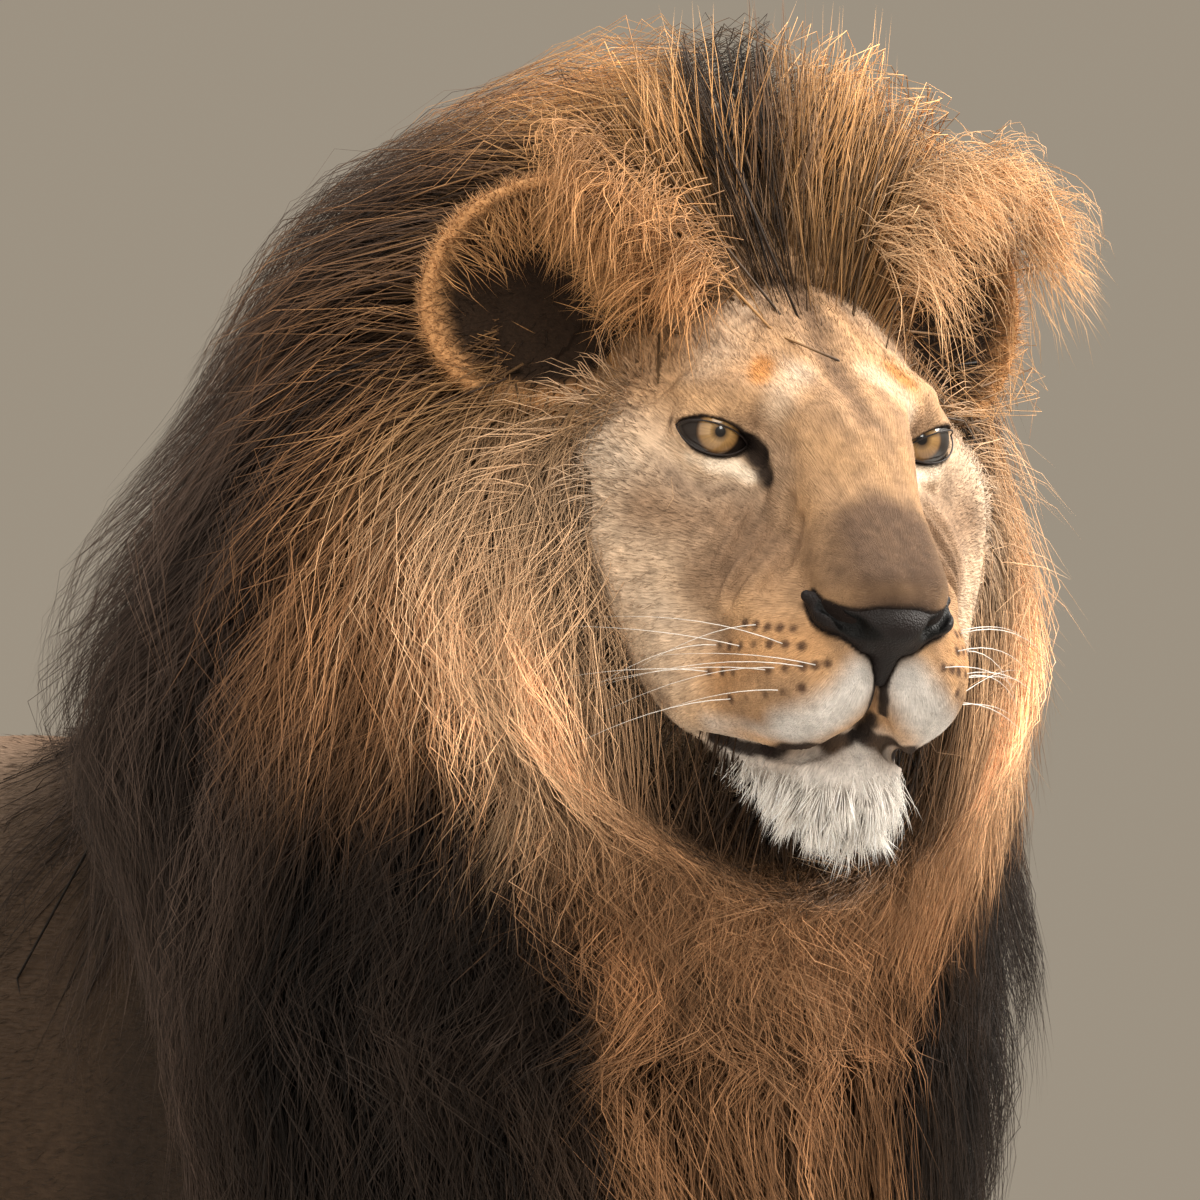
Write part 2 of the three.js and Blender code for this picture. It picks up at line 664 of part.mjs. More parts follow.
function buildTrunk() {
  const floor = block([-1500, -700, 0], [1500, 700, 1500]);
  const meshOf = (form, target, ...grid) => solid(thinned(surfaceOf(form, grid), target)).intersect(floor);
  const fleshOf = (target, ...grid) => meshOf(trunk, target, ...grid);
  const rump = melt(trunk, [tail, 30]);
  const foreLegs = fleshOf(560, ticks([120, 600, 20]), ticks([-14, 280, 17]), ticks([150, 900, 24]));
  const hindLegs = fleshOf(580, ticks([-790, -290, 20]), ticks([-14, 260, 17]), ticks([130, 1010, 24]));
  const forePaws = fleshOf(430, ticks([300, 540, 10]), ticks([50, 230, 10]), ticks([-20, 240, 10]));
  const hindPaws = fleshOf(380, ticks([-730, -470, 10]), ticks([50, 210, 10]), ticks([-20, 225, 10]));
  const pairs = {
    fore_leg: foreLegs.intersect(FORE_CUT(0)).subtract(below(205)(GAP)),
    fore_paw: forePaws.intersect(below(205)(0)),
    hind_leg: hindLegs.intersect(HIND_CUT(0)).subtract(below(190)(GAP)),
    hind_paw: hindPaws.intersect(below(190)(0)),
  };
  const torsoGrid = [ticks([-780, 640, 30]), ticks([-300, 300, 30]), ticks([430, 1190, 30])];
  let torsoSolid = meshOf(rump, 1350, ...torsoGrid);
  for (const cutter of [FORE_CUT(GAP), HIND_CUT(GAP)])
    torsoSolid = torsoSolid.subtract(cutter).subtract(cutter.transform(mirror.elements));
  torsoSolid = torsoSolid.subtract(tailCut(GAP)).subtract(block([NECK_X, -500, 400], [900, 500, 1500]));
  pieces.set("torso", torsoSolid);
  for (const [name, made] of Object.entries(pairs)) {
    pieces.set(`${name}_left`, made);
    pieces.set(`${name}_right`, made.transform(mirror.elements));
  }
  const tailGrid = [ticks([-1010, -680, 12]), ticks([-60, 110, 12]), ticks([255, 1060, 24])];
  const tailSolid = meshOf(melt(torso, [tail, 30]), 420, ...tailGrid);
  pieces.set("tail", tailSolid.intersect(tailCut(0)).subtract(below(TUFT_TOP)(GAP)));
}

const headGrid = [
  ticks([-215, -60, 14], [-60, 0, 9], [0, 130, 6.5]),
  ticks([-130, -70, 10], [-70, 70, 6.5], [70, 130, 10]),
  ticks([-205, 30, 6.5], [30, 100, 12]),
];

/** The head from the nape forward. */
const headSolid = () =>
  solid(
    thinned(surfaceOf(headForm, headGrid), HEAD_TRIANGLES, (p) => (p.x < -40 ? HIDDEN_WORTH : 1)),
    HEAD_MATRIX,
  ).intersect(solid(new THREE.BoxGeometry(400, 500, 600).translate(200 + NAPE_X, 0, 0), HEAD_MATRIX));

function buildHead() {
  const eye = (s, r) =>
    solid(
      new THREE.SphereGeometry(r, 12, 8).translate(EYE_AT[0], s * EYE_AT[1], EYE_AT[2]),
      HEAD_MATRIX,
    );
  const opening = (s) => {
    const [wide, high, deep] = EYE_OPENING;
    const place = new THREE.Matrix4()
      .makeTranslation(EYE_AT[0], s * EYE_AT[1], EYE_AT[2])
      .multiply(new THREE.Matrix4().makeRotationFromEuler(
        new THREE.Euler(degrees(s * EYE_SLANT), 0, degrees(s * EYE_OUTWARD), "ZYX"),
      ));
    return solid(
      new THREE.SphereGeometry(1, 12, 7).scale(deep, wide, high).translate(EYE_R, 0, 0),
      HEAD_MATRIX.clone().multiply(place),
    );
  };
  const noseGrid = [ticks([70, 140, 5]), ticks([-56, 56, 5]), ticks([-124, -46, 5])];
  const noseSolid = solid(thinned(surfaceOf(nose, noseGrid), 230), HEAD_MATRIX);
  let flesh = wasm.Manifold.union([headSolid(), ...beardLocks()]).subtract(grown(noseSolid));
  for (const [side, s] of [["left", 1], ["right", -1]]) {
    flesh = flesh.add(eye(s, EYE_R + LID)).subtract(opening(s)).subtract(eye(s, EYE_R + GAP));
    pieces.set(`eye_${side}`, eye(s, EYE_R));
  }
  pieces.set("nose", noseSolid);
  pieces.set("head", flesh);
}

/** The ear: a round cup, open forward and outward. */
function earSolid(s) {
  const cup = (shrink) =>
    new THREE.SphereGeometry(1, 13, 8).scale(
      EAR_SIZE[0] - shrink,
      EAR_SIZE[1] - shrink,
      EAR_SIZE[2] - shrink,
    );
  const place = new THREE.Matrix4()
    .makeTranslation(EAR_AT[0], s * EAR_AT[1], EAR_AT[2])
    .multiply(new THREE.Matrix4().makeRotationFromEuler(
      new THREE.Euler(degrees(s * -28), degrees(-6), degrees(s * 32), "ZYX"),
    ));
  const whole = HEAD_MATRIX.clone().multiply(place);
  const outside = solid(cup(0), whole);
  const hollow = solid(cup(EAR_WALL).translate(EAR_WALL * 1.6, 0, 0), whole);
  const open = solid(new THREE.BoxGeometry(80, 200, 200).translate(46, 0, 0), whole);
  return outside.subtract(hollow).subtract(open);
}

function buildEars() {
  const clear = grown(pieces.get("head"));
  for (const [side, s] of [["left", 1], ["right", -1]])
    pieces.set(`ear_${side}`, earSolid(s).subtract(clear));
}

/** Repeatable random numbers in [0, 1). */
function randomFrom(seed) {
  let state = seed;
  return () => {
    state = (state * 1664525 + 1013904223) % 4294967296;
    return state / 4294967296;
  };
}

/**
 * A flat lock along `path`, from a square root to a pointed tip; `out` gives the side that faces away
 * from the skin.
 */
function lockSolid(path, out, width, thick) {
  const positions = [];
  const last = path.length - 1;
  for (let i = 0; i < last; i++) {
    const t = i / last;
    const ahead = path[i + 1].clone().sub(path[Math.max(0, i - 1)]).normalize();
    const across = ahead.clone().cross(out[i]).normalize();
    const up = across.clone().cross(ahead);
    const w = (width / 2) * (t < 0.4 ? 0.5 + 1.25 * t : 1 - 0.8 * ((t - 0.4) / 0.6) ** 1.4);
    const h = (thick / 2) * (1 - 0.6 * t);
    for (const [a, b] of [[w, 0], [0, h], [-w, 0], [0, -h]])
      positions.push(...path[i].clone().addScaledVector(across, a).addScaledVector(up, b));
  }
  positions.push(...path[last]);
  const indices = [0, 1, 2, 0, 2, 3];
  for (let i = 0; i < last - 1; i++)
    for (let n = 0; n < 4; n++) {
      const [a, b] = [4 * i + n, 4 * i + ((n + 1) % 4)];
      indices.push(b, a, a + 4, b, a + 4, b + 4);
    }
  const tip = 4 * last;
  for (let n = 0; n < 4; n++) indices.push(tip - 4 + ((n + 1) % 4), tip - 4 + n, tip);
  const geometry = new THREE.BufferGeometry();
  geometry.setAttribute("position", new THREE.Float32BufferAttribute(positions, 3));
  geometry.setIndex(indices);
  return solid(geometry);
}

/** The locks of the mane, ring by ring. */
function maneLocks() {
  const random = randomFrom(7);
  const made = [];
  const steps = 4;
  const depth = (along, round) => reach(mane, along, round) - reach(flesh, along, round);
  for (const [ring, distance] of LOCK_TIERS.entries())
    for (let n = 0; n < LOCKS_PER_RING; n++) {
      const turn = (n + (ring % 2) / 2 + (random() - 0.5) * 0.2) / LOCKS_PER_RING;
      const round = 2 * Math.PI * turn - Math.PI;
      const crest = ring < CREST_TIERS;
      const [shortest, longest] = crest ? CREST_LENGTH : LOCK_LENGTH;
      let along = distance + (random() - 0.5) * 16;
      let length = shortest + (longest - shortest) * random();
      const rootAt = () => ringPoint(along, round, reach(underhair, along, round));
      const behindEar = () => worn(earHollow)(...rootAt()) > 12;
      if (ring > 0 && crest) while (!behindEar()) along += 20;
      while (length > 100 && depth(along + length, round) < 6) length -= 20;
      if (length < 100 || depth(along, round) < (ring > 1 ? 14 : -1)) continue;
      if (ring < 1 && (Math.abs(round) > 2.5 || !behindEar())) continue;
      const girth = 2 * Math.PI * reach(mane, along + length / 2, round);
      const width = (LOCK_COVER * girth * (0.9 + 0.2 * random())) / LOCKS_PER_RING;
      const thick = (crest ? CREST_FLATNESS : LOCK_FLATNESS) * width;
      const path = [];
      const out = [];
      for (let i = 0; i <= steps; i++) {
        const t = i / steps;
        const [a, r] = [along + length * t, round + 0.28 * Math.sin(round) * (ring ? 1 : 0.4) * t];
        const low = reach(underhair, a, r);
        const high = Math.max(reach(mane, a, r) + (crest ? CREST_LIFT : LOCK_LIFT), low + 8);
        const rise = t ** LOCK_RISE;
        const skin = reach(flesh, a, r);
        const sink = THREE.MathUtils.clamp(low - skin - 4, 4, LOCK_SINK);
        let rho = (low - (i ? 0 : sink)) * (1 - rise) + high * rise;
        if (i) rho = Math.max(rho, skin + thick * 0.6);
        path.push(ringPoint(a, r, rho));
        out.push(ringPoint(a, r, rho + 10).sub(path[i]).normalize());
      }
      made.push(lockSolid(path, out, width, thick));
    }
  return made;
}

/** The tail's tuft: a short core with locks that hang past its tip. */
function buildTuft() {
  const random = randomFrom(11);
  const spine = new THREE.CatmullRomCurve3(TUFT_SPINE.map((p) => new THREE.Vector3(...p)));
  const grid = [ticks([-1010, -860, 12]), ticks([0, 110, 12]), ticks([225, 460, 14])];
  const locks = [];
  for (let ring = 0; ring < 2; ring++)
    for (let n = 0; n < TUFT_LOCKS; n++) {
      const round = ((n + ring / 2) / TUFT_LOCKS) * 2 * Math.PI;
      const outward = new THREE.Vector3(Math.cos(round), Math.sin(round), 0);
      const start = 0.1 + 0.3 * ring;
      const rhos = [12, 34, 40, 30, 8 + 10 * random()];
      const path = rhos.map((rho, i) =>
        spine.getPointAt(start + (0.94 - start + 0.06 * random()) * (i / 4)).addScaledVector(outward, rho),
      );
      locks.push(lockSolid(path, path.map(() => outward), 46, 13));
    }
  const made = wasm.Manifold.union([solid(thinned(surfaceOf(tuft, grid), 90)), ...locks]);
  pieces.set("tail_tuft", made.intersect(below(TUFT_TOP)(0)));
}

/** The white beard on the chin, in the head's own frame. */
function beardLocks() {
  const random = randomFrom(5);
  const made = [];
  for (const [row, count] of [3, 2].entries())
    for (let n = 0; n < count; n++) {
      const y = (n - (count - 1) / 2) * 22;
      const x = 74 - row * 24 - 0.012 * y * y;
      const drop = 44 + 8 * random() - Math.abs(y) * 0.4;
      const path = [[-8, 16], [7, -4], [6, -20], [-4, -drop]].map(([dx, dz]) =>
        new THREE.Vector3(x + dx, y * (1 - 0.006 * dz), -176 + dz).applyMatrix4(HEAD_MATRIX),
      );
      const out = path.map(() => new THREE.Vector3(1, 0, 0.2).transformDirection(HEAD_MATRIX));
      made.push(lockSolid(path, out, 32, 10));
    }
  return made;
}

function buildMane() {
  const grid = [
    ticks([60, 260, 30], [260, 820, 20]),
    ticks([-290, 290, 20]),
    ticks([470, 1500, 21]),
  ];
  const breast = (x, y, z) => Math.max(torso(x, y, z), NECK_X + 1 - x);
  const core = solid(thinned(surfaceOf(melt(underhair, [breast, 10]), grid), 520));
  let made = wasm.Manifold.union([core, ...maneLocks()]);
  for (const name of ["torso", "fore_leg_left", "fore_leg_right", "head", "ear_left", "ear_right"])
    made = made.subtract(grown(pieces.get(name)));
  pieces.set("neck_mane", made);
}

buildTrunk();
buildTuft();
buildHead();
buildEars();
buildMane();

// ---------------------------------------------------------------- finish
const finish = (color, roughness) =>
  new THREE.MeshStandardMaterial({ color, roughness, metalness: 0 });
const COAT = finish(0x8f7554, 0.9);
const FACE = finish(0xb08a5c, 0.85);
const MANE = finish(0x6b4a2c, 0.9);
const EYE = finish(0x9a6a2a, 0.15);
const NOSE = finish(0x2a2020, 0.45);
const materialOf = (name) =>
  name.startsWith("eye") ? EYE
    : name === "nose" ? NOSE
      : name.includes("mane") || name.includes("tuft") ? MANE
        : name === "head" || name.startsWith("ear") ? FACE
          : COAT;

const lion = new THREE.Group();
for (const [name, made] of pieces) {
  const mesh = new THREE.Mesh(geometryOf(made), materialOf(name));
  mesh.name = name;
  lion.add(mesh);
}
const bounds = new THREE.Box3().setFromObject(lion);
const middle = bounds.getCenter(new THREE.Vector3());
lion.position.set(-middle.x, -middle.y, 0);

export default lion;
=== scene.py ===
"""The looks of a life-size adult male lion: one skin, eyes, nose, whiskers, short coat, mane and tail tuft.

The forms are signed-distance fields in millimetres, in the lion's own frame: +X forward, +Y to its left,
+Z up, the floor at zero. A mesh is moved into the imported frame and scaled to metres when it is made.
"""

from __future__ import annotations

import logging
import math
from dataclasses import dataclass, field
from enum import Enum
from typing import Callable, Sequence

import bpy
import numpy as np
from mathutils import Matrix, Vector


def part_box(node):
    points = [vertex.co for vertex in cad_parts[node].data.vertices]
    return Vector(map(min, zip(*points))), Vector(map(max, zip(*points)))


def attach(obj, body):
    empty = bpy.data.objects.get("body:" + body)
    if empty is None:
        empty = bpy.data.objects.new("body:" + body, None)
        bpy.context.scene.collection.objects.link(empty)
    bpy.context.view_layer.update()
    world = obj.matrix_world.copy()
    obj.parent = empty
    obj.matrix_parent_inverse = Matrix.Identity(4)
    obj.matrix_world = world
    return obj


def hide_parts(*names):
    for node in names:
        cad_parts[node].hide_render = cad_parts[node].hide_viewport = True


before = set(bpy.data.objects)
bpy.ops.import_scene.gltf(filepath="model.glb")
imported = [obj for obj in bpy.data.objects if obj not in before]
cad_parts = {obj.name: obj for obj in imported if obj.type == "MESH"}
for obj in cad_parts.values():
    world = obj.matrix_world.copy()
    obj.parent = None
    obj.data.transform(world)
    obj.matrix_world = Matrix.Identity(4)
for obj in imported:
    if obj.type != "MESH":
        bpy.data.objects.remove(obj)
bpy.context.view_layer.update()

LOG = logging.getLogger("lion")
Points = Array = np.ndarray
Piece = bpy.types.Object
Chance = np.random.Generator
Form = Callable[[Points], Array]

# ---------------------------------------------------------------- driving dimensions, in millimetres
MM = 0.001
WITHERS_Z = 1120.0
RUMP_Z = 1090.0
CHEST_HALF = 190.0
SHOULDER_X = 470.0
HIP_X = -545.0
FORE_FOOT_Y = 140.0
HIND_FOOT_Y = 128.0
HEAD_AT = (730.0, -30.0, 1265.0)
HEAD_TURN = -9.0
HEAD_NOD = 8.5
HEAD_ROLL = -2.5
EYE_AT = (-4.0, 57.0, -1.0)
EYE_R = 19.5
LID = 3.5
EYE_OPENING = (30.0, 29.0, 24.0)
EYE_ALMOND = 16.0
EYE_INWARD = 3.0
EYE_OUTWARD = 30.0
EYE_SLANT = 11.0
GAZE_TURN = -11.0
GAZE_DOWN = -9.0
EAR_AT = (-98.0, 113.0, 54.0)
EAR_SIZE = (28.0, 68.0, 60.0)
EAR_WALL = 6.0
NOSE_TIP = (126.0, 0.0, -62.0)
HEAD_REACH = 230.0
CORE_SHARE = 0.5
FACE_COAT = 1.6
BODY_COAT = 4.0


# ---------------------------------------------------------------- forms
def turn_matrix(roll: float, nod: float, turn: float) -> Array:
    """Rotation by roll about X, then nod about Y, then turn about Z, all in degrees.

    Args:
        roll: Degrees about X.
        nod: Degrees about Y.
        turn: Degrees about Z.

    Returns:
        The 3 by 3 matrix.
    """
    (cx, cy, cz), (sx, sy, sz) = (f(np.radians([roll, nod, turn])) for f in (np.cos, np.sin))
    about_x = np.array([[1, 0, 0], [0, cx, -sx], [0, sx, cx]])
    about_y = np.array([[cy, 0, sy], [0, 1, 0], [-sy, 0, cy]])
    about_z = np.array([[cz, -sz, 0], [sz, cz, 0], [0, 0, 1]])
    return about_z @ about_y @ about_x


def limb(a: Sequence[float], b: Sequence[float], ra: float, rb: float, wide: float = 1.0) -> Form:
    """A round cone.

    Args:
        a: Centre of the first end.
        b: Centre of the second end.
        ra: Radius at a.
        rb: Radius at b.
        wide: How many times broader the section is across Y.

    Returns:
        The form.
    """
    squeeze = np.array([1, 1 / wide, 1], np.float32)
    start = np.array(a, np.float32) * squeeze
    run = np.array(b, np.float32) * squeeze - start
    length2 = float(run @ run)

    def at(p: Points) -> Array:
        q = p * squeeze - start
        t = np.clip(q @ run / length2, 0, 1)
        q -= t[:, None] * run
        return (np.sqrt(np.einsum("ij,ij->i", q, q)) - ra - (rb - ra) * t) * min(1.0, wide)

    return at


def pillow(centre: Sequence[float], half: Sequence[float], tilt: float = 0.0, turn: float = 0.0) -> Form:
    """An ellipsoid.

    Args:
        centre: Its centre.
        half: Its half sizes.
        tilt: Degrees nose-down about Y.
        turn: Degrees about Z, after the tilt.

    Returns:
        The form.
    """
    middle = np.array(centre, np.float32)
    into = turn_matrix(0, tilt, turn).astype(np.float32)
    size = np.array(half, np.float32)

    def at(p: Points) -> Array:
        u = (p - middle) @ into / size
        k0 = np.sqrt(np.einsum("ij,ij->i", u, u))
        u /= size
        k1 = np.sqrt(np.einsum("ij,ij->i", u, u))
        return k0 * (k0 - 1) / np.maximum(k1, 1e-6)

    return at


def smooth_min(a: Array, b: Array, k: float) -> Array:
    """The smaller of two distances, with a rounded join of width k."""
    h = np.maximum(k - np.abs(a - b), 0)
    return np.minimum(a, b) - h * h / (4 * k)


def melt(first: Form, *rest: tuple[Form, float]) -> Form:
    """Joins forms one after another.

    Args:
        first: The form that the others melt into.
        rest: Pairs of a form and its blend distance.

    Returns:
        The joined form.
    """

    def at(p: Points) -> Array:
        d = first(p)
        for form, k in rest:
            d = smooth_min(d, form(p), k)
        return d

    return at


def carve(form: Form, groove: Form, k: float) -> Form:
    """Takes the groove out of the form with an edge rounded by k."""
    return lambda p: -smooth_min(-form(p), groove(p), k)


def swollen(form: Form, by: float) -> Form:
    """The form with its surface moved outward."""
    return lambda p: form(p) - by


def mirrored(form: Form) -> Form:
    """The form on the left, repeated on the right."""
    return lambda p: form(on_left(p))


def moved(form: Form, offset: Sequence[float]) -> Form:
    """The form shifted by the offset."""
    shift = np.array(offset, np.float32)
    return lambda p: form(p - shift)


def on_left(p: Points) -> Points:
    """Points with those on the right mirrored to the left."""
    return np.stack([p[:, 0], np.abs(p[:, 1]), p[:, 2]], 1)


def turned(form: Form, centre: Sequence[float], matrix: Array) -> Form:
    """A form of a local frame, placed at a centre with a rotation."""
    at, into = np.array(centre, np.float32), matrix.astype(np.float32)
    return lambda p: form((p - at) @ into)


def chain(places: Sequence[Sequence[float]], radii: Sequence[float], k: float) -> Form:
    """Limbs from place to place, melted together."""
    links = [limb(a, b, ra, rb) for a, b, ra, rb in zip(places, places[1:], radii, radii[1:])]
    return melt(links[0], *((link, k) for link in links[1:]))


HEAD_TURNING = turn_matrix(HEAD_ROLL, HEAD_NOD, HEAD_TURN)


def worn(form: Form) -> Form:
    """A form of the head's own frame, read in the lion's frame."""
    return turned(form, HEAD_AT, HEAD_TURNING)


def to_head(p: Points) -> Points:
    """Points of the lion's frame in the head's own frame, whose origin is midway between the eyes."""
    return (p - np.array(HEAD_AT)) @ HEAD_TURNING


def from_head(p: Points) -> Points:
    """Points of the head's own frame in the lion's frame."""
    return np.asarray(p) @ HEAD_TURNING.T + np.array(HEAD_AT)


# ---------------------------------------------------------------- the body's forms
TORSO = melt(
    pillow([170, 0, 835], [330, CHEST_HALF, 252]),
    (limb([310, 0, WITHERS_Z - 85], [-100, 0, 972], 82, 104, 1.1), 70),
    (limb([-100, 0, 972], [-530, 0, RUMP_Z - 112], 104, 112, 1.15), 60),
    (pillow([-110, 0, 790], [340, 165, 185], -3), 80), (pillow([-330, 0, 850], [250, 148, 165], -6), 80),
    (pillow([-545, 0, 900], [175, 150, 168]), 70), (pillow([420, 0, 800], [150, 152, 210]), 80),
    (pillow([390, 0, 650], [160, 95, 105]), 70),
)
SHOULDER = melt(
    limb([305, 92, WITHERS_Z - 85], [SHOULDER_X - 5, 132, 790], 74, 92, 0.78),
    (limb([285, 118, 900], [285, 150, 640], 82, 66, 0.72), 60),
)
FORE_LEG = melt(
    limb([SHOULDER_X, 138, 775], [325, 152, 590], 94, 78, 0.85),
    (limb([322, 152, 590], [362, 146, 400], 78, 60, 0.9), 45),
    (limb([362, 146, 400], [372, FORE_FOOT_Y, 260], 58, 47), 30),
    (limb([372, FORE_FOOT_Y, 262], [385, FORE_FOOT_Y, 110], 47, 46, 1.08), 25),
    (limb([345, FORE_FOOT_Y, 235], [350, FORE_FOOT_Y, 205], 22, 16), 22),
)
HIND_LEG = melt(
    limb([HIP_X, 82, 880], [-440, 125, 650], 158, 98, 0.66),
    (limb([-620, 82, 860], [-590, 122, 600], 112, 70, 0.66), 60),
    (limb([-440, 128, 640], [-640, HIND_FOOT_Y, 380], 94, 46, 0.78), 50),
    (limb([-655, HIND_FOOT_Y, 372], [-700, HIND_FOOT_Y, 338], 44, 36, 0.9), 30),
    (limb([-678, HIND_FOOT_Y, 330], [-632, HIND_FOOT_Y, 105], 40, 39, 1.05), 28),
)
TOES = (-1.0, -0.34, 0.34, 1.0)


def paw(half: float, long: float) -> Form:
    """A paw with four toes, its heel over the origin.

    Args:
        half: Half its width.
        long: From heel to toes.

    Returns:
        The form.
    """
    toes = []
    for side in TOES:
        reach = long * (0.86 if abs(side) > 0.5 else 1.0)
        y = side * half * 0.66
        toes.append((limb([reach * 0.62, y * 0.8, 44], [reach, y, 27], 24, 25), 7))
    return melt(
        pillow([long * 0.42, 0, 42], [long * 0.55, half, 46], 6), *toes,
        (pillow([long * 0.2, 0, 14], [long * 0.3, half * 0.7, 22]), 14),
    )


FORE_PAW_X, FORE_PAW_HALF, FORE_PAW_LONG = 372.0, 62.0, 118.0
HIND_PAW_X, HIND_PAW_HALF, HIND_PAW_LONG = -640.0, 56.0, 108.0
TAIL_PLACES = (
    (-660, 0, 985), (-745, 4, 955), (-822, 12, 850), (-862, 22, 700), (-884, 34, 540), (-915, 46, 400),
    (-968, 56, 300),
)
TAIL_RADII = (62, 44, 31, 25, 21, 19, 18)
TUFT_SPINE = ((-905, 43, 430), (-940, 52, 345), (-972, 58, 270), (-992, 60, 190))
TAIL = chain(TAIL_PLACES, TAIL_RADII, 14)

TRUNK = melt(
    TORSO, (mirrored(SHOULDER), 55), (mirrored(FORE_LEG), 50), (mirrored(HIND_LEG), 60),
    (mirrored(moved(paw(FORE_PAW_HALF, FORE_PAW_LONG), [FORE_PAW_X, FORE_FOOT_Y, 0])), 26),
    (mirrored(moved(paw(HIND_PAW_HALF, HIND_PAW_LONG), [HIND_PAW_X, HIND_FOOT_Y, 0])), 26),
)
NECK = melt(
    limb([400, 0, 930], [572, -12, 1190], 200, 128, 0.95),
    (limb([300, 0, WITHERS_Z - 80], [540, -10, 1250], 84, 92), 70),
    (limb([470, -4, 820], [606, -18, 1120], 124, 92), 60),
)

# ---------------------------------------------------------------- the head's forms, in its own frame
SKULL = melt(
    pillow([-95, 0, 5], [104, 84, 70]), (pillow([-52, 66, -48], [62, 44, 58]), 34),
    (pillow([-72, 62, -88], [66, 46, 58]), 34), (limb([-42, 0, 20], [26, 0, -8], 44, 38, 1.2), 26),
    (pillow([0, 40, 17], [34, 26, 18], 18, 12), 18), (limb([-42, 78, -42], [8, 62, -112], 36, 32), 26),
    (limb([26, 0, -10], [100, 0, -66], 36, 24, 1.2), 20), (limb([20, 44, -62], [70, 28, -98], 34, 30), 24),
    (pillow([74, 27, -112], [42, 29, 38]), 16), (pillow([90, 17, -110], [22, 18, 28]), 10),
    (limb([62, 34, -122], [22, 58, -132], 26, 22), 14), (limb([62, 8, -160], [-70, 48, -122], 26, 40), 22),
    (pillow([70, 0, -166], [24, 28, 22]), 14),
)
HOLLOWS = melt(pillow([26, 47, -12], [13, 17, 12], 0, -30), (limb([104, 0, -112], [98, 0, -134], 3, 3), 3))
MOUTH_LINE = ((104, 0, -132), (98, 16, -140), (82, 36, -153), (58, 54, -157), (34, 66, -151), (20, 74, -144))
MOUTH = chain(MOUTH_LINE, [3] * len(MOUTH_LINE), 2)
BRIDGE_EDGE = limb([50, 16, -24], [100, 20, -62], 16, 15)
BRIDGE_SIDES = melt(limb([40, 55, 2], [64, 52, -34], 19, 14), (limb([64, 52, -34], [84, 56, -62], 14, 10), 8))
DUCT = chain(((16, 45, -4), (24, 43, -9), (32, 41, -15)), (3.6, 3.0, 1.5), 4)
FURROW = chain(((-34, 0, 76), (2, 0, 57), (30, 0, 42), (60, 0, 23)), (7, 8, 7, 4), 8)
BROW = chain(((22, 34, 10), (8, 50, 20), (-14, 66, 18), (-28, 76, 4)), (8, 6, 6, 4), 8)
EYE_BAG = chain(((17, 47, -19), (7, 63, -19), (-8, 75, -10)), (5, 6, 5), 6)
PAD_FRONT = pillow([94, 11, -113], [18, 12.5, 24])
LIP_SEAM = chain(((116, 0, -98), (112, 0, -118), (105, 0, -133)), (1.6, 1.6, 2.4), 2)
LIPS_LINE = (
    (104, 0, -130), (101, 6, -133), (94, 14, -143), (88, 19, -148), (79, 28, -153), (58, 41, -156),
    (38, 51.5, -155), (29, 58, -153),
)
LIPS = chain(LIPS_LINE, (3, 2.6, 2.6, 2.8, 3, 3, 3, 2.5), 2)
LOWER_LIP_LINE = (
    (97, 0, -132), (88, 0, -138), (86, 8, -142), (87, 15, -145), (88, 27, -147), (80, 34, -150),
    (59, 35, -154), (48, 41, -156), (39, 46, -156), (29, 53, -154),
)
LOWER_LIP = chain(LOWER_LIP_LINE, (5,) * 10, 2)
NOSE_SOLID = mirrored(
    melt(
        pillow([106, 0, -75], [22, 24, 14], 24), (pillow([100, 25, -75], [16, 14, 9], 20, 24), 7),
        (limb([96, 31, -73], [92, 39, -69], 5, 3), 5), (limb([111, 12, -88], [101, 29, -79], 6, 5), 5),
        (limb([110, 0, -86], [106, 0, -108], 10, 4), 7),
    )
)
NOSTRILS = mirrored(
    melt(
        limb([129, 13, -87], [117, 22, -81], 4.8, 4.6),
        (limb([117, 22, -81], [104, 36, -71.5], 4.4, 2.4), 4),
    )
)
NOSE = carve(NOSE_SOLID, NOSTRILS, 3)
CREASE_LINES = (
    ((32, 41, -19), (40, 48, -36), (48, 61, -54), (45, 69, -75)),
    ((51, 34, -26), (49, 40, -42), (57, 56, -60), (54, 65, -79)),
    ((31, 53, -30), (39, 65, -45), (38, 72, -61)), ((60, 32, -35), (63, 39, -55), (68, 51, -70)),
)
CREASE_RADII = ((0.4, 1.1, 1.1, 0.4), (0.4, 1.0, 1.0, 0.4), (0.4, 0.9, 0.4), (0.3, 0.7, 0.3))
CREASE_FORMS = [chain(line, radii, 2) for line, radii in zip(CREASE_LINES, CREASE_RADII)]
CREASES = melt(CREASE_FORMS[0], *((crease, 2) for crease in CREASE_FORMS[1:]))
PAD_SIDE = pillow([72, 40, -112], [34, 22, 27], 0, -12)
EYE_FACING = turn_matrix(EYE_SLANT, 0, EYE_OUTWARD)
EAR_FACING = turn_matrix(-28, -6, 32)
LIDS = pillow(EYE_AT, [EYE_R + LID] * 3)
LID_ARCS = [pillow([EYE_R, -EYE_INWARD, side * EYE_ALMOND], EYE_OPENING) for side in (-1, 1)]


def eye_slit(p: Points) -> Array:
    """The almond between the lids of the left eye, in the eye's own frame."""
    return np.maximum(LID_ARCS[0](p), LID_ARCS[1](p))


EYE_GAP = turned(eye_slit, EYE_AT, EYE_FACING)


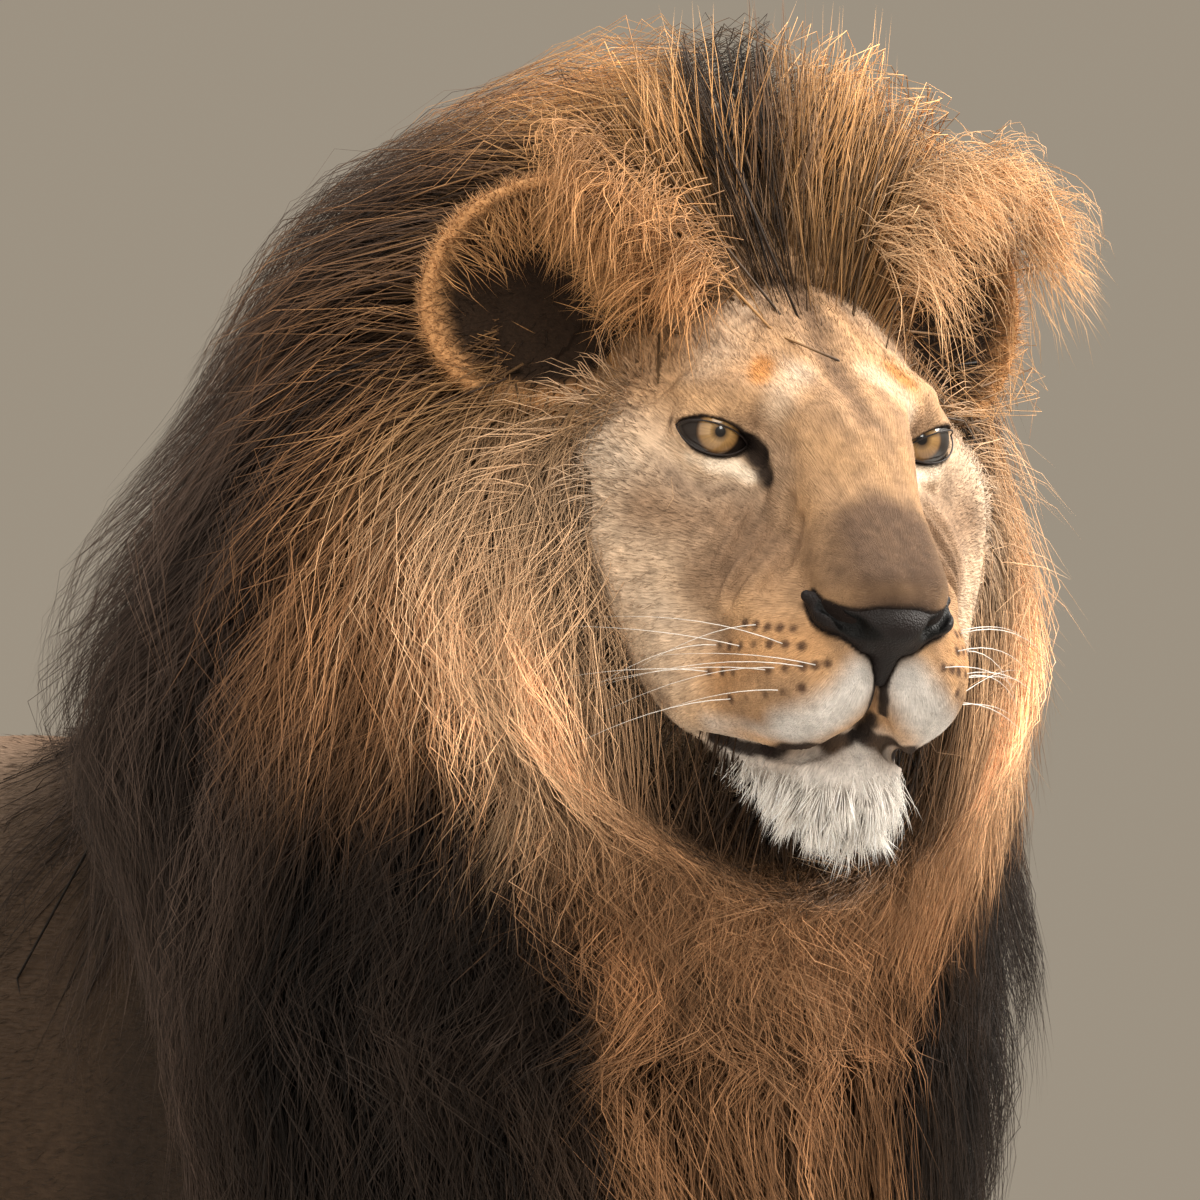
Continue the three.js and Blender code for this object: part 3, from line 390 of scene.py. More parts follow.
def ear_cup(p: Points) -> Array:
    """The left ear in its own frame: a round cup, open along +X."""
    outside = pillow([0, 0, 0], EAR_SIZE)(p)
    inner = [size - EAR_WALL for size in EAR_SIZE]
    hollow = pillow([EAR_WALL * 1.6, 0, 0], inner)(p)
    cup = -smooth_min(-outside, hollow, 3)
    return -smooth_min(-cup, 6 - p[:, 0], 3)


HEAD_PLAIN = mirrored(carve(carve(SKULL, HOLLOWS, 9), MOUTH, 6))

# ---------------------------------------------------------------- the mane's forms, out to its tips
EAR_HOLLOW = mirrored(pillow([-58, 132, 62], [66, 66, 62], 0, 32))
MANE_ON_HEAD = melt(
    pillow([-125, 0, 15], [85, 176, 190]), (pillow([-92, 0, -105], [78, 164, 110]), 50),
    (limb([34, 0, -200], [-70, 0, -225], 24, 74, 1.3), 60),
)
MANE_BEHIND = melt(
    pillow([508, -8, 1248], [146, 236, 196]), (pillow([395, 0, 1120], [192, 262, 180]), 90),
    (limb([530, -8, 1130], [470, 0, 980], 200, 218), 60), (pillow([490, 0, 930], [172, 218, 255]), 80),
    (pillow([548, -6, 890], [136, 146, 262], 8), 60), (limb([420, 0, 1095], [120, 0, 1090], 78, 52), 60),
    (pillow([430, 0, 640], [125, 108, 115]), 60),
)
MANE_WHOLE = melt(MANE_BEHIND, (worn(MANE_ON_HEAD), 70))
MANE = carve(MANE_WHOLE, worn(EAR_HOLLOW), 24)


def flesh(p: Points) -> Array:
    """The body under the mane: trunk, neck and head."""
    return np.minimum(np.minimum(TRUNK(p), NECK(p)), worn(HEAD_PLAIN)(p))


def underhair(p: Points) -> Array:
    """The dense hair at the roots of the mane, half way from the skin to the tips."""
    return CORE_SHARE * MANE(p) + (1 - CORE_SHARE) * flesh(p)


# ---------------------------------------------------------------- surfaces of forms
CORNERS = np.array([[n & 1, n >> 1 & 1, n >> 2] for n in range(8)])
EDGES = np.array([(a, a | bit) for a in range(8) for bit in (1, 2, 4) if not a & bit])


def slope(form: Form, p: Points, reach: float = 0.6) -> Points:
    """The gradient of a form.

    Args:
        form: The form.
        p: Where to measure.
        reach: Half the distance over which it is measured.

    Returns:
        One vector for each point.
    """
    columns = []
    for axis in range(3):
        shift = np.zeros(3, np.float32)
        shift[axis] = reach
        columns.append((form(p + shift) - form(p - shift)) / (2 * reach))
    return np.stack(columns, 1)


def settled(form: Form, p: Points, reach: float) -> Points:
    """Points moved onto the surface of a form, by no more than reach each."""
    start = p.copy()
    for _ in range(2):
        g = slope(form, p)
        length2 = np.maximum(np.einsum("ij,ij->i", g, g), 0.05)
        p = p - (form(p) / length2)[:, None] * g
        p = start + np.clip(p - start, -reach, reach)
    return p


@dataclass
class Surface:
    """Vertices and quads of a surface, with the outward direction at each vertex."""

    points: Points
    quads: Array
    normals: Points

    @staticmethod
    def of(form: Form, low: Sequence[float], high: Sequence[float], step: float) -> Surface:
        """Meshes the zero surface of a form, one vertex in each crossed cell of a grid.

        Args:
            form: The form.
            low: The grid's lowest corner.
            high: The grid's highest corner.
            step: The size of a cell.

        Returns:
            The surface, open where it leaves the grid.
        """
        axes = [np.arange(a, b + step, step, dtype=np.float32) for a, b in zip(low, high)]
        shape = tuple(len(axis) for axis in axes)
        value = np.empty(shape, np.float32)
        flat = np.stack(np.meshgrid(axes[1], axes[2], indexing="ij"), -1).reshape(-1, 2)
        for i, x in enumerate(axes[0]):
            slab = np.column_stack([np.full(len(flat), x, np.float32), flat])
            value[i] = form(slab).reshape(shape[1:])
        inside = value < 0
        count = np.zeros([n - 1 for n in shape], np.int8)
        for dx, dy, dz in CORNERS:
            count += inside[dx : shape[0] - 1 + dx, dy : shape[1] - 1 + dy, dz : shape[2] - 1 + dz]
        cells = np.argwhere((count > 0) & (count < 8))
        index = np.full(shape, -1, np.int32)
        index[tuple(cells.T)] = np.arange(len(cells))
        corners = cells[:, None] + CORNERS[None]
        level = value[tuple(corners.transpose(2, 0, 1))]
        total = np.zeros((len(cells), 3), np.float32)
        hits = np.zeros(len(cells), np.float32)
        for a, b in EDGES:
            crossed = (level[:, a] < 0) != (level[:, b] < 0)
            t = np.where(crossed, level[:, a] / np.where(crossed, level[:, a] - level[:, b], 1), 0)
            total += crossed[:, None] * (CORNERS[a] + (CORNERS[b] - CORNERS[a]) * t[:, None])
            hits += crossed
        points = (cells + total / hits[:, None]) * step + np.array([axis[0] for axis in axes])
        points = settled(form, points.astype(np.float32), step * 0.45)
        quads = []
        for axis in range(3):
            u, v = (axis + 1) % 3, (axis + 2) % 3
            ahead = [slice(None)] * 3
            ahead[axis] = slice(1, None)
            here = [slice(None)] * 3
            here[axis] = slice(None, -1)
            start = inside[tuple(here)]
            edge = np.argwhere(start != inside[tuple(ahead)])
            edge = edge[(edge[:, u] > 0) & (edge[:, v] > 0)]
            ring = []
            for du, dv in ((1, 1), (0, 1), (0, 0), (1, 0)):
                cell = edge.copy()
                cell[:, u] -= du
                cell[:, v] -= dv
                ring.append(index[tuple(cell.T)])
            ring = np.stack(ring, 1)
            flip = ~start[tuple(edge.T)]
            ring[flip] = ring[flip][:, ::-1]
            quads.append(ring)
        quads = np.concatenate(quads)
        quads = quads[(quads >= 0).all(1)]
        normals = slope(form, points, step * 0.4)
        normals /= np.maximum(np.linalg.norm(normals, axis=1, keepdims=True), 1e-6)
        return Surface(points, quads, normals)

    def only(self, keep: Array) -> Surface:
        """The part of the surface whose vertices are all marked in keep."""
        quads = self.quads[keep[self.quads].all(1)]
        used = np.unique(quads)
        renumber = np.full(len(self.points), -1)
        renumber[used] = np.arange(len(used))
        return Surface(self.points[used], renumber[quads], self.normals[used])

    def joined(self, other: Surface) -> Surface:
        """This surface and another as one."""
        return Surface(
            np.concatenate([self.points, other.points]),
            np.concatenate([self.quads, other.quads + len(self.points)]),
            np.concatenate([self.normals, other.normals]),
        )

    def scattered(self, count: int, worth: Array, random: Chance) -> Array:
        """Draws quads at random, by their area times the mean worth of their corners.

        Args:
            count: How many places to draw.
            worth: A weight for each vertex.
            random: The source of chance.

        Returns:
            Corner numbers and weights, as two arrays of four columns.
        """
        p = self.points[self.quads]
        area = np.linalg.norm(np.cross(p[:, 2] - p[:, 0], p[:, 3] - p[:, 1]), axis=1)
        area = area * worth[self.quads].mean(1)
        chosen = random.choice(len(area), count, p=area / area.sum())
        s, t = random.random((2, count))
        weights = np.stack([(1 - s) * (1 - t), s * (1 - t), s * t, (1 - s) * t], 1)
        return self.quads[chosen], weights


# ---------------------------------------------------------------- meshes in Blender
class Placing:
    """Moves points of the lion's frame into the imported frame, in metres."""

    def __init__(self) -> None:
        """Finds the shift from the two packed eyes."""
        boxes = [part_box(name) for name in ("eye_left", "eye_right")]
        packed = sum((np.array(low) + np.array(high) for low, high in boxes), np.zeros(3)) / 4
        own = from_head([EYE_AT[0], 0.0, EYE_AT[2]])
        self.shift = packed - own * MM
        self.shift[2] = 0.0

    def __call__(self, p: Points) -> Points:
        """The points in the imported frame."""
        return np.asarray(p) * MM + self.shift


PLACE = Placing()


def mesh_object(
    name: str, points: Points, faces: Sequence[Array], colours: Points | None = None,
    roots: Array | None = None, extra: dict[str, Array] | None = None,
) -> Piece:
    """Makes a smooth mesh object.

    Args:
        name: Its name.
        points: Vertices in the lion's frame, in millimetres.
        faces: Arrays of faces, each array with its own number of corners.
        colours: Linear colour of each vertex, as the attribute "coat".
        roots: Place of each vertex on the coat's unwrap, as the map "OFBake".
        extra: More attributes, with one number or one vector for each vertex.

    Returns:
        The object, linked to the scene and riding on the body.
    """
    mesh = bpy.data.meshes.new(name)
    loops = np.concatenate([f.reshape(-1) for f in faces]).astype(np.int32)
    sizes = np.concatenate([np.full(len(f), f.shape[1], np.int32) for f in faces])
    starts = np.concatenate([[0], np.cumsum(sizes)[:-1]]).astype(np.int32)
    mesh.vertices.add(len(points))
    mesh.vertices.foreach_set("co", PLACE(points).astype(np.float32).reshape(-1))
    mesh.loops.add(len(loops))
    mesh.loops.foreach_set("vertex_index", loops)
    mesh.polygons.add(len(sizes))
    mesh.polygons.foreach_set("loop_start", starts)
    mesh.polygons.foreach_set("use_smooth", np.ones(len(sizes), bool))
    if colours is not None:
        attribute = mesh.attributes.new("coat", "FLOAT_COLOR", "POINT")
        rgba = np.concatenate([colours, np.ones((len(colours), 1))], 1).astype(np.float32)
        attribute.data.foreach_set("color", rgba.reshape(-1))
    for key, values in (extra or {}).items():
        kind, part = ("FLOAT", "value") if values.ndim == 1 else ("FLOAT_VECTOR", "vector")
        attribute = mesh.attributes.new(key, kind, "POINT")
        attribute.data.foreach_set(part, values.astype(np.float32).reshape(-1))
    if roots is not None:
        layer = mesh.uv_layers.new(name="OFBake")
        layer.data.foreach_set("uv", roots[loops].astype(np.float32).reshape(-1))
    mesh.update(calc_edges=True)
    made = bpy.data.objects.new(name, mesh)
    bpy.context.scene.collection.objects.link(made)
    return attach(made, "root")


def dressed(made: Piece, material: bpy.types.Material) -> Piece:
    """The piece with its material."""
    made.data.materials.append(material)
    return made


def triangle_count(made: Piece) -> int:
    """How many triangles the object has."""
    sizes = np.empty(len(made.data.polygons), np.int32)
    made.data.polygons.foreach_get("loop_total", sizes)
    return int((sizes - 2).sum())


# ---------------------------------------------------------------- markings
def ease(low: float, high: float, x: Array) -> Array:
    """Rises smoothly from 0 at low to 1 at high."""
    t = np.clip((x - low) / (high - low), 0, 1)
    return t * t * (3 - 2 * t)


def ripple(p: Points, size: float, seed: int) -> Array:
    """Smooth repeatable noise between about -1 and 1.

    Args:
        p: Where to read it.
        size: The size of its lumps.
        seed: Which noise.

    Returns:
        One number for each point.
    """
    random = np.random.default_rng(seed)
    total = np.zeros(len(p))
    for _ in range(5):
        wave = random.normal(size=3) * 2.2 / size
        total += np.sin(p @ wave + random.random() * 2 * math.pi)
    return total / 3


def tinted(base: Points, colour: Sequence[float], share: Array) -> Points:
    """The base colours moved towards one colour by a share for each point."""
    return base + (np.array(colour) - base) * share[:, None]


@dataclass(frozen=True)
class Mark:
    """A stroke of colour on the face, along places in the head's own frame."""

    places: tuple[tuple[float, float, float], ...]
    radius: float
    soft: float
    colour: tuple[float, float, float]
    strength: float = 1.0

    def share(self, h: Points) -> Array:
        """How much of the stroke's colour each point of the mirrored face takes."""
        if len(self.places) > 1:
            form = chain(self.places, [self.radius] * len(self.places), 2)
        else:
            form = pillow(self.places[0], [self.radius] * 3)
        return self.strength * (1 - ease(-self.soft, self.soft, form(h)))


TAWNY = (0.52, 0.31, 0.16)
PALE = (0.78, 0.63, 0.48)
WHITE = (0.69, 0.65, 0.61)
GREY = (0.105, 0.064, 0.042)
ASH = (0.265, 0.165, 0.10)
AMBER = (0.56, 0.29, 0.12)
DARK = (0.016, 0.010, 0.008)
LOWER_LID = (0.80, 0.66, 0.51)
RUST = (0.46, 0.20, 0.06)
SPOT = (0.07, 0.035, 0.022)
STREAK = (0.16, 0.095, 0.055)
BODY = (0.27, 0.19, 0.135)
LEG = (0.36, 0.25, 0.16)
BELLY = (0.30, 0.22, 0.15)
GOLD = (0.80, 0.43, 0.17)
STRAW = (0.82, 0.53, 0.31)
HONEY = (0.40, 0.205, 0.095)
UMBER = (0.135, 0.072, 0.038)
SOOT = (0.013, 0.009, 0.007)
# Near-black hair lightened to grey by a painted sheen of sky light
SOOT_WITH_SHEEN = (0.055, 0.038, 0.030)

FACE_MARKS = (
    Mark(((39, 55, -39), (20, 74, -44), (2, 92, -39)), 15, 14, ASH, 0.9),
    Mark(((58, 40, -48), (46, 60, -58), (38, 72, -70)), 15, 12, ASH, 0.9),
    Mark(((34, 41, -26), (44, 48, -44), (44, 62, -62)), 9, 12, GREY, 0.42),
    Mark(((70, 0, -28), (48, 0, -8)), 24, 16, ASH, 0.35),
    Mark(((24, 44, 10), (34, 38, -6), (44, 36, -20)), 8, 8, ASH, 0.6),
    Mark(((17, 21, 35), (28, 34, 18)), 8, 8, PALE, 0.45),
    Mark(((-16, 60, 40), (-30, 40, 62)), 14, 14, PALE, 0.4),
    Mark(((98, 0, -38), (112, 0, -54), (118, 0, -62)), 27, 9, GREY, 0.9),
    Mark(((88, 24, -36), (104, 28, -54)), 11, 9, GREY, 0.6),
    # The STREAK marks along the crease lines are painted shade in the creases of the muzzle.
    Mark(((119, 0, -60), (112, 26, -64)), 3, 5, TAWNY, 0.4), Mark(CREASE_LINES[0], 1.6, 4, STREAK, 0.2),
    *(Mark(line, 1.5, 4, STREAK, 0.2) for line in CREASE_LINES[1:3]),
    Mark(CREASE_LINES[3], 1.5, 4, STREAK, 0.12), Mark(((14, 42, 28), (8, 37, 39)), 6, 3.5, RUST, 0.95),
    Mark(((-45, 4, 72), (-16, 0, 56), (6, 0, 43), (27, 1, 30), (52, 0, 14)), 6, 5, STREAK, 0.85),
    Mark(((12, 8, 54), (30, 14, 38), (52, 20, 14)), 4, 5, STREAK, 0.35),
    Mark(((22, 45, 8), (18, 46, 22)), 2.5, 3, STREAK, 0.8),
    Mark(((-36, 22, 70), (-12, 26, 60)), 4, 7, STREAK, 0.45),
    Mark(((-44, 48, 62), (-24, 54, 48)), 5, 8, STREAK, 0.4),
    Mark(((104, 44, -92), (80, 62, -100), (56, 68, -116)), 13, 10, AMBER, 0.5),
    Mark(((114, 12, -108), (110, 26, -124), (96, 42, -138)), 12, 8, WHITE, 0.95),
    Mark(((92, 40, -142), (66, 56, -146), (46, 64, -146)), 6, 7, WHITE, 0.6),
    Mark(((88, 0, -172), (72, 0, -190)), 34, 10, WHITE, 0.9),
    Mark(((70, 26, -176), (40, 44, -168)), 20, 12, WHITE, 0.75),
    Mark(((26, 46, -19), (18, 51, -16), (12, 62, -15), (4, 69, -12), (-4, 73, -6)), 4.0, 2.6, LOWER_LID, 0.9),
    Mark(((24, 54, -28), (8, 74, -27), (-10, 84, -18)), 4, 5, GREY, 0.6),
    Mark(((36, 40, -22), (47, 44, -36)), 4, 4, STREAK, 0.7),
    Mark(((14, 45, -1), (22, 41, -8)), 7.2, 1.8, DARK, 0.97),
    Mark(((24, 42, -9), (33, 40, -19)), 4.8, 2.2, DARK, 0.97),
    Mark(((-10, 78, 3), (-18, 82, 5)), 2.6, 2.2, DARK, 0.8),
    Mark(((-17, 110, -69), (-22, 98, -108), (10, 90, -124), (25, 80, -138)), 5, 6, STREAK, 0.6),
    Mark(LIPS_LINE, 3.4, 1.2, DARK, 0.97), Mark(LOWER_LIP_LINE[:7], 6.0, 1.8, DARK, 0.97),
    Mark(LOWER_LIP_LINE[6:], 4.0, 1.5, DARK, 0.97),
    Mark(
        ((106, 2, -98), (107, 2, -110), (107, 3, -119), (105, 4, -126), (100, 3, -134)), 3.0, 1.2, DARK, 0.96
    ),
    Mark(((103, 0, -132), (99, 5, -137)), 5.5, 1.6, DARK, 0.96),
    Mark(((96, 10, -148), (88, 20, -152)), 8, 6, STREAK, 0.5),
)
WHISKER_ROWS = (
    ((68, 61, -88), (83, 55, -87), (96, 47, -85)),
    ((48, 66, -103), (69, 61, -100), (89, 55, -95), (103, 44, -93)),
    ((47, 69, -117), (67, 62, -114), (92, 55, -108), (107, 44, -103), (113, 33, -100)),
    ((64, 62, -128), (90, 54, -120), (108, 44, -114)),
)
SPOT_R = 2.9


MANE_EDGES = (
    (0, 80, 150), (25, 66, 112), (38, 56, 100), (48, 66, 122), (57, 70, 150), (63, 64, 112),
    (70, 86, 145), (77, 118, 188), (85, 134, 250), (95, 138, 280), (105, 142, 290), (115, 164, 262),
    (125, 198, 226), (135, 226, 246), (145, 238, 270), (155, 246, 300), (163, 290, 700), (180, 470, 900),
)
HAIRLINE = (
    (0, -76), (20, -75), (45, -78), (61, -70), (76, -62), (92, -44), (106, -27), (119, -22),
    (139, -24), (152, -19), (161, -8), (164, 8), (180, 25),
)


def before_hairline(h: Points) -> Array:
    """How far points of the head's frame lie in front of the line where the mane begins."""
    angle, line = np.array(HAIRLINE, float).T
    return h[:, 0] - np.interp(np.degrees(np.arctan2(np.abs(h[:, 1]), h[:, 2])), angle, line)


class Markings:
    """The colours of the coat, the same for the skin and for the hair on it."""

    def __init__(self) -> None:
        """Places the rows of whisker spots, close together along each row."""
        spots = []
        for row in WHISKER_ROWS:
            for a, b in zip(row, row[1:]):
                spots += [np.array(a), (np.array(a) + np.array(b)) / 2]
            spots.append(np.array(row[-1]))
        self.spots = np.array(spots)

    def face(self, h: Points) -> Points:
        """Linear colour of the short coat of the face.

        Args:
            h: Points in the head's own frame.

        Returns:
            One colour for each point.
        """
        m = on_left(h).astype(np.float32)
        colour = np.tile(TAWNY, (len(h), 1))
        colour = tinted(colour, ASH, 0.35 + 0.35 * ripple(h, 22, 3))
        cheek = 0.45 * ease(60, 20, h[:, 0]) + 0.55 * ease(10, -60, h[:, 0])
        cheek = cheek * ease(20, -25, h[:, 2])
        colour = tinted(colour, PALE, 0.95 * cheek)
        brow = ease(-20, -60, h[:, 0]) * ease(50, 70, h[:, 2])
        colour = tinted(colour, ASH, brow * (0.35 + 0.35 * ripple(h, 14, 9)))
        for mark in FACE_MARKS:
            colour = tinted(colour, mark.colour, mark.share(m))
        for spot in self.spots:
            near = np.linalg.norm(m - spot, axis=1)
            colour = tinted(colour, SPOT, 0.9 * (1 - ease(SPOT_R - 1.4, SPOT_R + 1.0, near)))
        colour = colour * (1 + 0.11 * ripple(h, 8, 15) + 0.09 * ripple(h, 3.5, 16))[:, None]
        colour = tinted(colour, DARK, 1 - ease(0.8, 2.6, NOSE_SOLID(m)))
        gap = EYE_GAP(m)
        _, outward, high = ((m - np.array(EYE_AT)) @ EYE_FACING).T
        above = 1.3 * ease(-3, 5, high) - 1.4 * ease(5, 14, outward)
        liner = 1 - ease(1.7, 2.9, gap - above)
        return tinted(colour, DARK, 0.97 * liner * (h[:, 0] > -40))

    def ear(self, q: Points) -> Points:
        """Linear colour of the ear, with painted shade inside its cup.

        Args:
            q: Points in the left ear's own frame.

        Returns:
            One colour for each point.
        """
        _, wide, high = EAR_SIZE
        rim = np.hypot(q[:, 1] / wide, q[:, 2] / high)
        colour = np.tile(HONEY, (len(q), 1))
        colour = tinted(colour, AMBER, 0.9 * ease(0.66, 0.9, rim))
        # Painted shade: the inside of the cup, within the rim, is taken nearly to black.
        inside = EAR_SIZE[0] * np.sqrt(np.clip(1 - rim**2, 0, 1))
        hollow = ease(-0.92, -0.72, -rim) * ease(3, 8, q[:, 0] + inside)
        return tinted(colour, (0.006, 0.004, 0.003), 0.96 * hollow)

    def body(self, p: Points) -> Points:
        """Linear colour of the short coat of the body.

        Args:
            p: Points in the lion's frame.

        Returns:
            One colour for each point.
        """
        x, y, z = p.T
        colour = np.tile(BODY, (len(p), 1))
        colour = tinted(colour, LEG, 0.85 * ease(640, 380, z))
        colour = tinted(colour, BELLY, 0.6 * ease(720, 610, z) * (np.abs(y) < 120))
        colour = tinted(colour, STREAK, 0.3 + 0.25 * ripple(p, 120, 5))
        spine = ease(60, 10, np.abs(y)) * ease(1000, 1080, z)
        colour = tinted(colour, UMBER, 0.5 * spine)
        # Painted shade: the shoulder and flank beside the mane are tinted towards STREAK and darkened, most
        # towards the front and top.
        colour = tinted(colour, STREAK, 0.75 * ease(-80, 160, x) * ease(560, 760, z))
        colour = colour * (1 - 0.68 * ease(-160, 120, x) * ease(560, 760, z))[:, None]
        withers = ease(240, 330, x - 0.35 * (z - 900)) * ease(700, 820, z)
        colour = tinted(colour, SOOT, 0.6 * withers)
        dark_end = ease(-880, -930, x)
        return tinted(colour, SOOT, 0.8 * dark_end)

    def mane(self, p: Points, along: Array, round_: Array, shift: Array) -> Points:
        """Linear colour of the mane's hair, with painted shade on the throat and chest and a painted sheen on
        the dark hair of the upper neck.

        Args:
            p: Roots in the lion's frame.
            along: Distance of each root behind the face, along the neck.
            round_: Angle of each root round the neck, from the nape.
            shift: How much farther back each hair takes its colour from.

        Returns:
            One colour for each point.
        """
        patch = 14 * ripple(p, 70, 6) + 9 * ripple(p, 30, 7)
        behind = np.abs(round_)
        angle, gold, dark = np.array(MANE_EDGES, float).T
        gold = np.interp(np.degrees(behind), angle, gold)
        dark = np.interp(np.degrees(behind), angle, dark)
        depth = along + shift + patch
        colour = tinted(np.tile(GOLD, (len(p), 1)), STRAW, ease(1.1, 1.7, behind))
        colour = tinted(colour, HONEY, ease(gold - 25, gold + 20, depth))
        colour = tinted(colour, UMBER, ease(gold + 10, np.maximum(dark - 10, gold + 30), depth))
        # Painted shade: the chest under the head is tinted towards HONEY and darkened.
        chest = ease(2.3, 2.75, behind)
        colour = tinted(colour, HONEY, 0.9 * chest) * (1 - 0.22 * chest)[:, None]
        x, y, z = p.T
        apron = ease(25, -30, z - 1088 + 0.775 * (0.545 * x - 0.839 * np.abs(y) - 82) + patch)
        apron *= ease(1.45, 1.75, behind) * ease(2.64, 2.48, behind)
        # The dark hair of the upper neck is greyed: its own near-black colour with a painted sheen of sky
        # light on it.
        dark_and_sheen = tinted(np.tile(SOOT, (len(p), 1)), SOOT_WITH_SHEEN, ease(1.9, 1.5, behind))
        late = np.maximum(0.95 * ease(dark - 25, dark + 25, depth), 0.88 * apron)
        colour = colour + (dark_and_sheen - colour) * late[:, None]
        # Painted shadow under the chin: the throat and the top of the chest darken towards SOOT.
        shaded = ease(2.5, 2.85, behind) * ease(165, 120, depth + 0.5 * patch)
        colour = tinted(colour, SOOT, 0.72 * shaded)
        centre = np.clip(0.0035 * (along - 42), -0.12, 0.12)
        streak = ease(0.19, 0.1, np.abs(round_ - centre) + 0.002 * patch)
        brown = tinted(np.tile(UMBER, (len(p), 1)), SOOT, ease(-30, 20, along))
        return colour + (brown - colour) * (0.95 * streak)[:, None]


MARKINGS = Markings()


# ---------------------------------------------------------------- the lie of the mane
class Spine:
    """A smooth curve through a few places, measured along its length."""

    def __init__(self, places: Sequence[Sequence[float]], steps: int = 24) -> None:
        """Samples the curve.

        Args:
            places: The places it passes through.
            steps: Samples between two places.
        """
        p = np.array(places, float)
        p = np.concatenate([[2 * p[0] - p[1]], p, [2 * p[-1] - p[-2]]])
        t = np.linspace(0, 1, steps, endpoint=False)[:, None]
        runs = []
        for a, b, c, d in zip(p, p[1:], p[2:], p[3:]):
            cubic = (3 * (b - c) + d - a) * t**3 + (2 * a - 5 * b + 4 * c - d) * t**2
            runs.append(b + 0.5 * (cubic + (c - a) * t))
        self.points = np.concatenate([*runs, p[-2:-1]])
        steps_long = np.linalg.norm(np.diff(self.points, axis=0), axis=1)
        self.far = np.concatenate([[0], np.cumsum(steps_long)])
        self.length = self.far[-1]
        self.tangents = np.gradient(self.points, self.far, axis=0)

    def at(self, along: Array) -> tuple[Points, Points]:
        """Places and directions at distances along the curve, straight on beyond its ends."""
        inside = np.clip(along, 0, self.length)
        place = np.stack([np.interp(inside, self.far, c) for c in self.points.T], -1)
        tangent = np.stack([np.interp(inside, self.far, c) for c in self.tangents.T], -1)
        tangent /= np.linalg.norm(tangent, axis=-1, keepdims=True)
        return place + tangent * (along - inside)[..., None], tangent


class ManeLie:
    """Rings round a spine from the face to the breast, with how far skin, core and tips reach in each."""

    ALONG = np.arange(-40.0, 681.0, 10.0)
    ROUND = np.linspace(-math.pi, math.pi, 91)
    REACHES = np.arange(24.0, 520.0, 8.0)

    def __init__(self) -> None:
        """Measures the tables."""
        places = (
            (716, -27, 1258), (606, -14, 1222), (522, -8, 1135), (464, -2, 1012), (446, 0, 880),
            (436, 0, 730),
        )
        self.spine = Spine(places)
        self.skin = self.table(flesh)
        self.tips = np.maximum(self.table(MANE_WHOLE), self.skin - 30)
        self.core = self.skin + CORE_SHARE * (self.tips - self.skin)

    def point(self, along: Array, round_: Array, rho: Array) -> Points:
        """Points at a distance rho from the spine."""
        place, tangent = self.spine.at(along)
        nape = np.array([0, 0, 1.0]) - tangent * tangent[..., 2:3]
        nape /= np.linalg.norm(nape, axis=-1, keepdims=True)
        side = np.cross(tangent, nape)
        across = nape * np.cos(round_)[..., None] + side * np.sin(round_)[..., None]
        return place + across * rho[..., None]

    def outward(self, along: Array, round_: Array) -> Points:
        """Directions away from the spine."""
        zero = np.zeros_like(along)
        return self.point(along, round_, zero + 1) - self.point(along, round_, zero)

    def table(self, form: Form) -> Array:
        """How far a form reaches from the spine, for each along and round."""
        a, r, rho = np.meshgrid(self.ALONG, self.ROUND, self.REACHES, indexing="ij")
        points = self.point(a.ravel(), r.ravel(), rho.ravel()).astype(np.float32)
        value = form(points).reshape(a.shape)
        outside = value > 0
        outside[..., -1] = True
        first = np.maximum(outside.argmax(-1), 1)
        i, j = np.indices(first.shape)
        near, far = value[i, j, first - 1], value[i, j, first]
        share = np.clip(-near / np.where(far - near > 1e-6, far - near, 1), 0, 1)
        return self.REACHES[first - 1] + share * (self.REACHES[1] - self.REACHES[0])

    def read(self, table: Array, along: Array, round_: Array) -> Array:
        """Values of a table between its entries."""
        u = np.clip((along - self.ALONG[0]) / 10.0, 0, len(self.ALONG) - 1.001)
        turn = (round_ + math.pi) / (2 * math.pi) % 1.0
        v = turn * (len(self.ROUND) - 1)
        i, j = u.astype(int), np.minimum(v.astype(int), len(self.ROUND) - 2)
        s, t = u - i, v - j
        low = table[i, j] * (1 - t) + table[i, j + 1] * t
        high = table[i + 1, j] * (1 - t) + table[i + 1, j + 1] * t
        return low * (1 - s) + high * s


# ---------------------------------------------------------------- hair as closed meshes
PATCH = 0.003


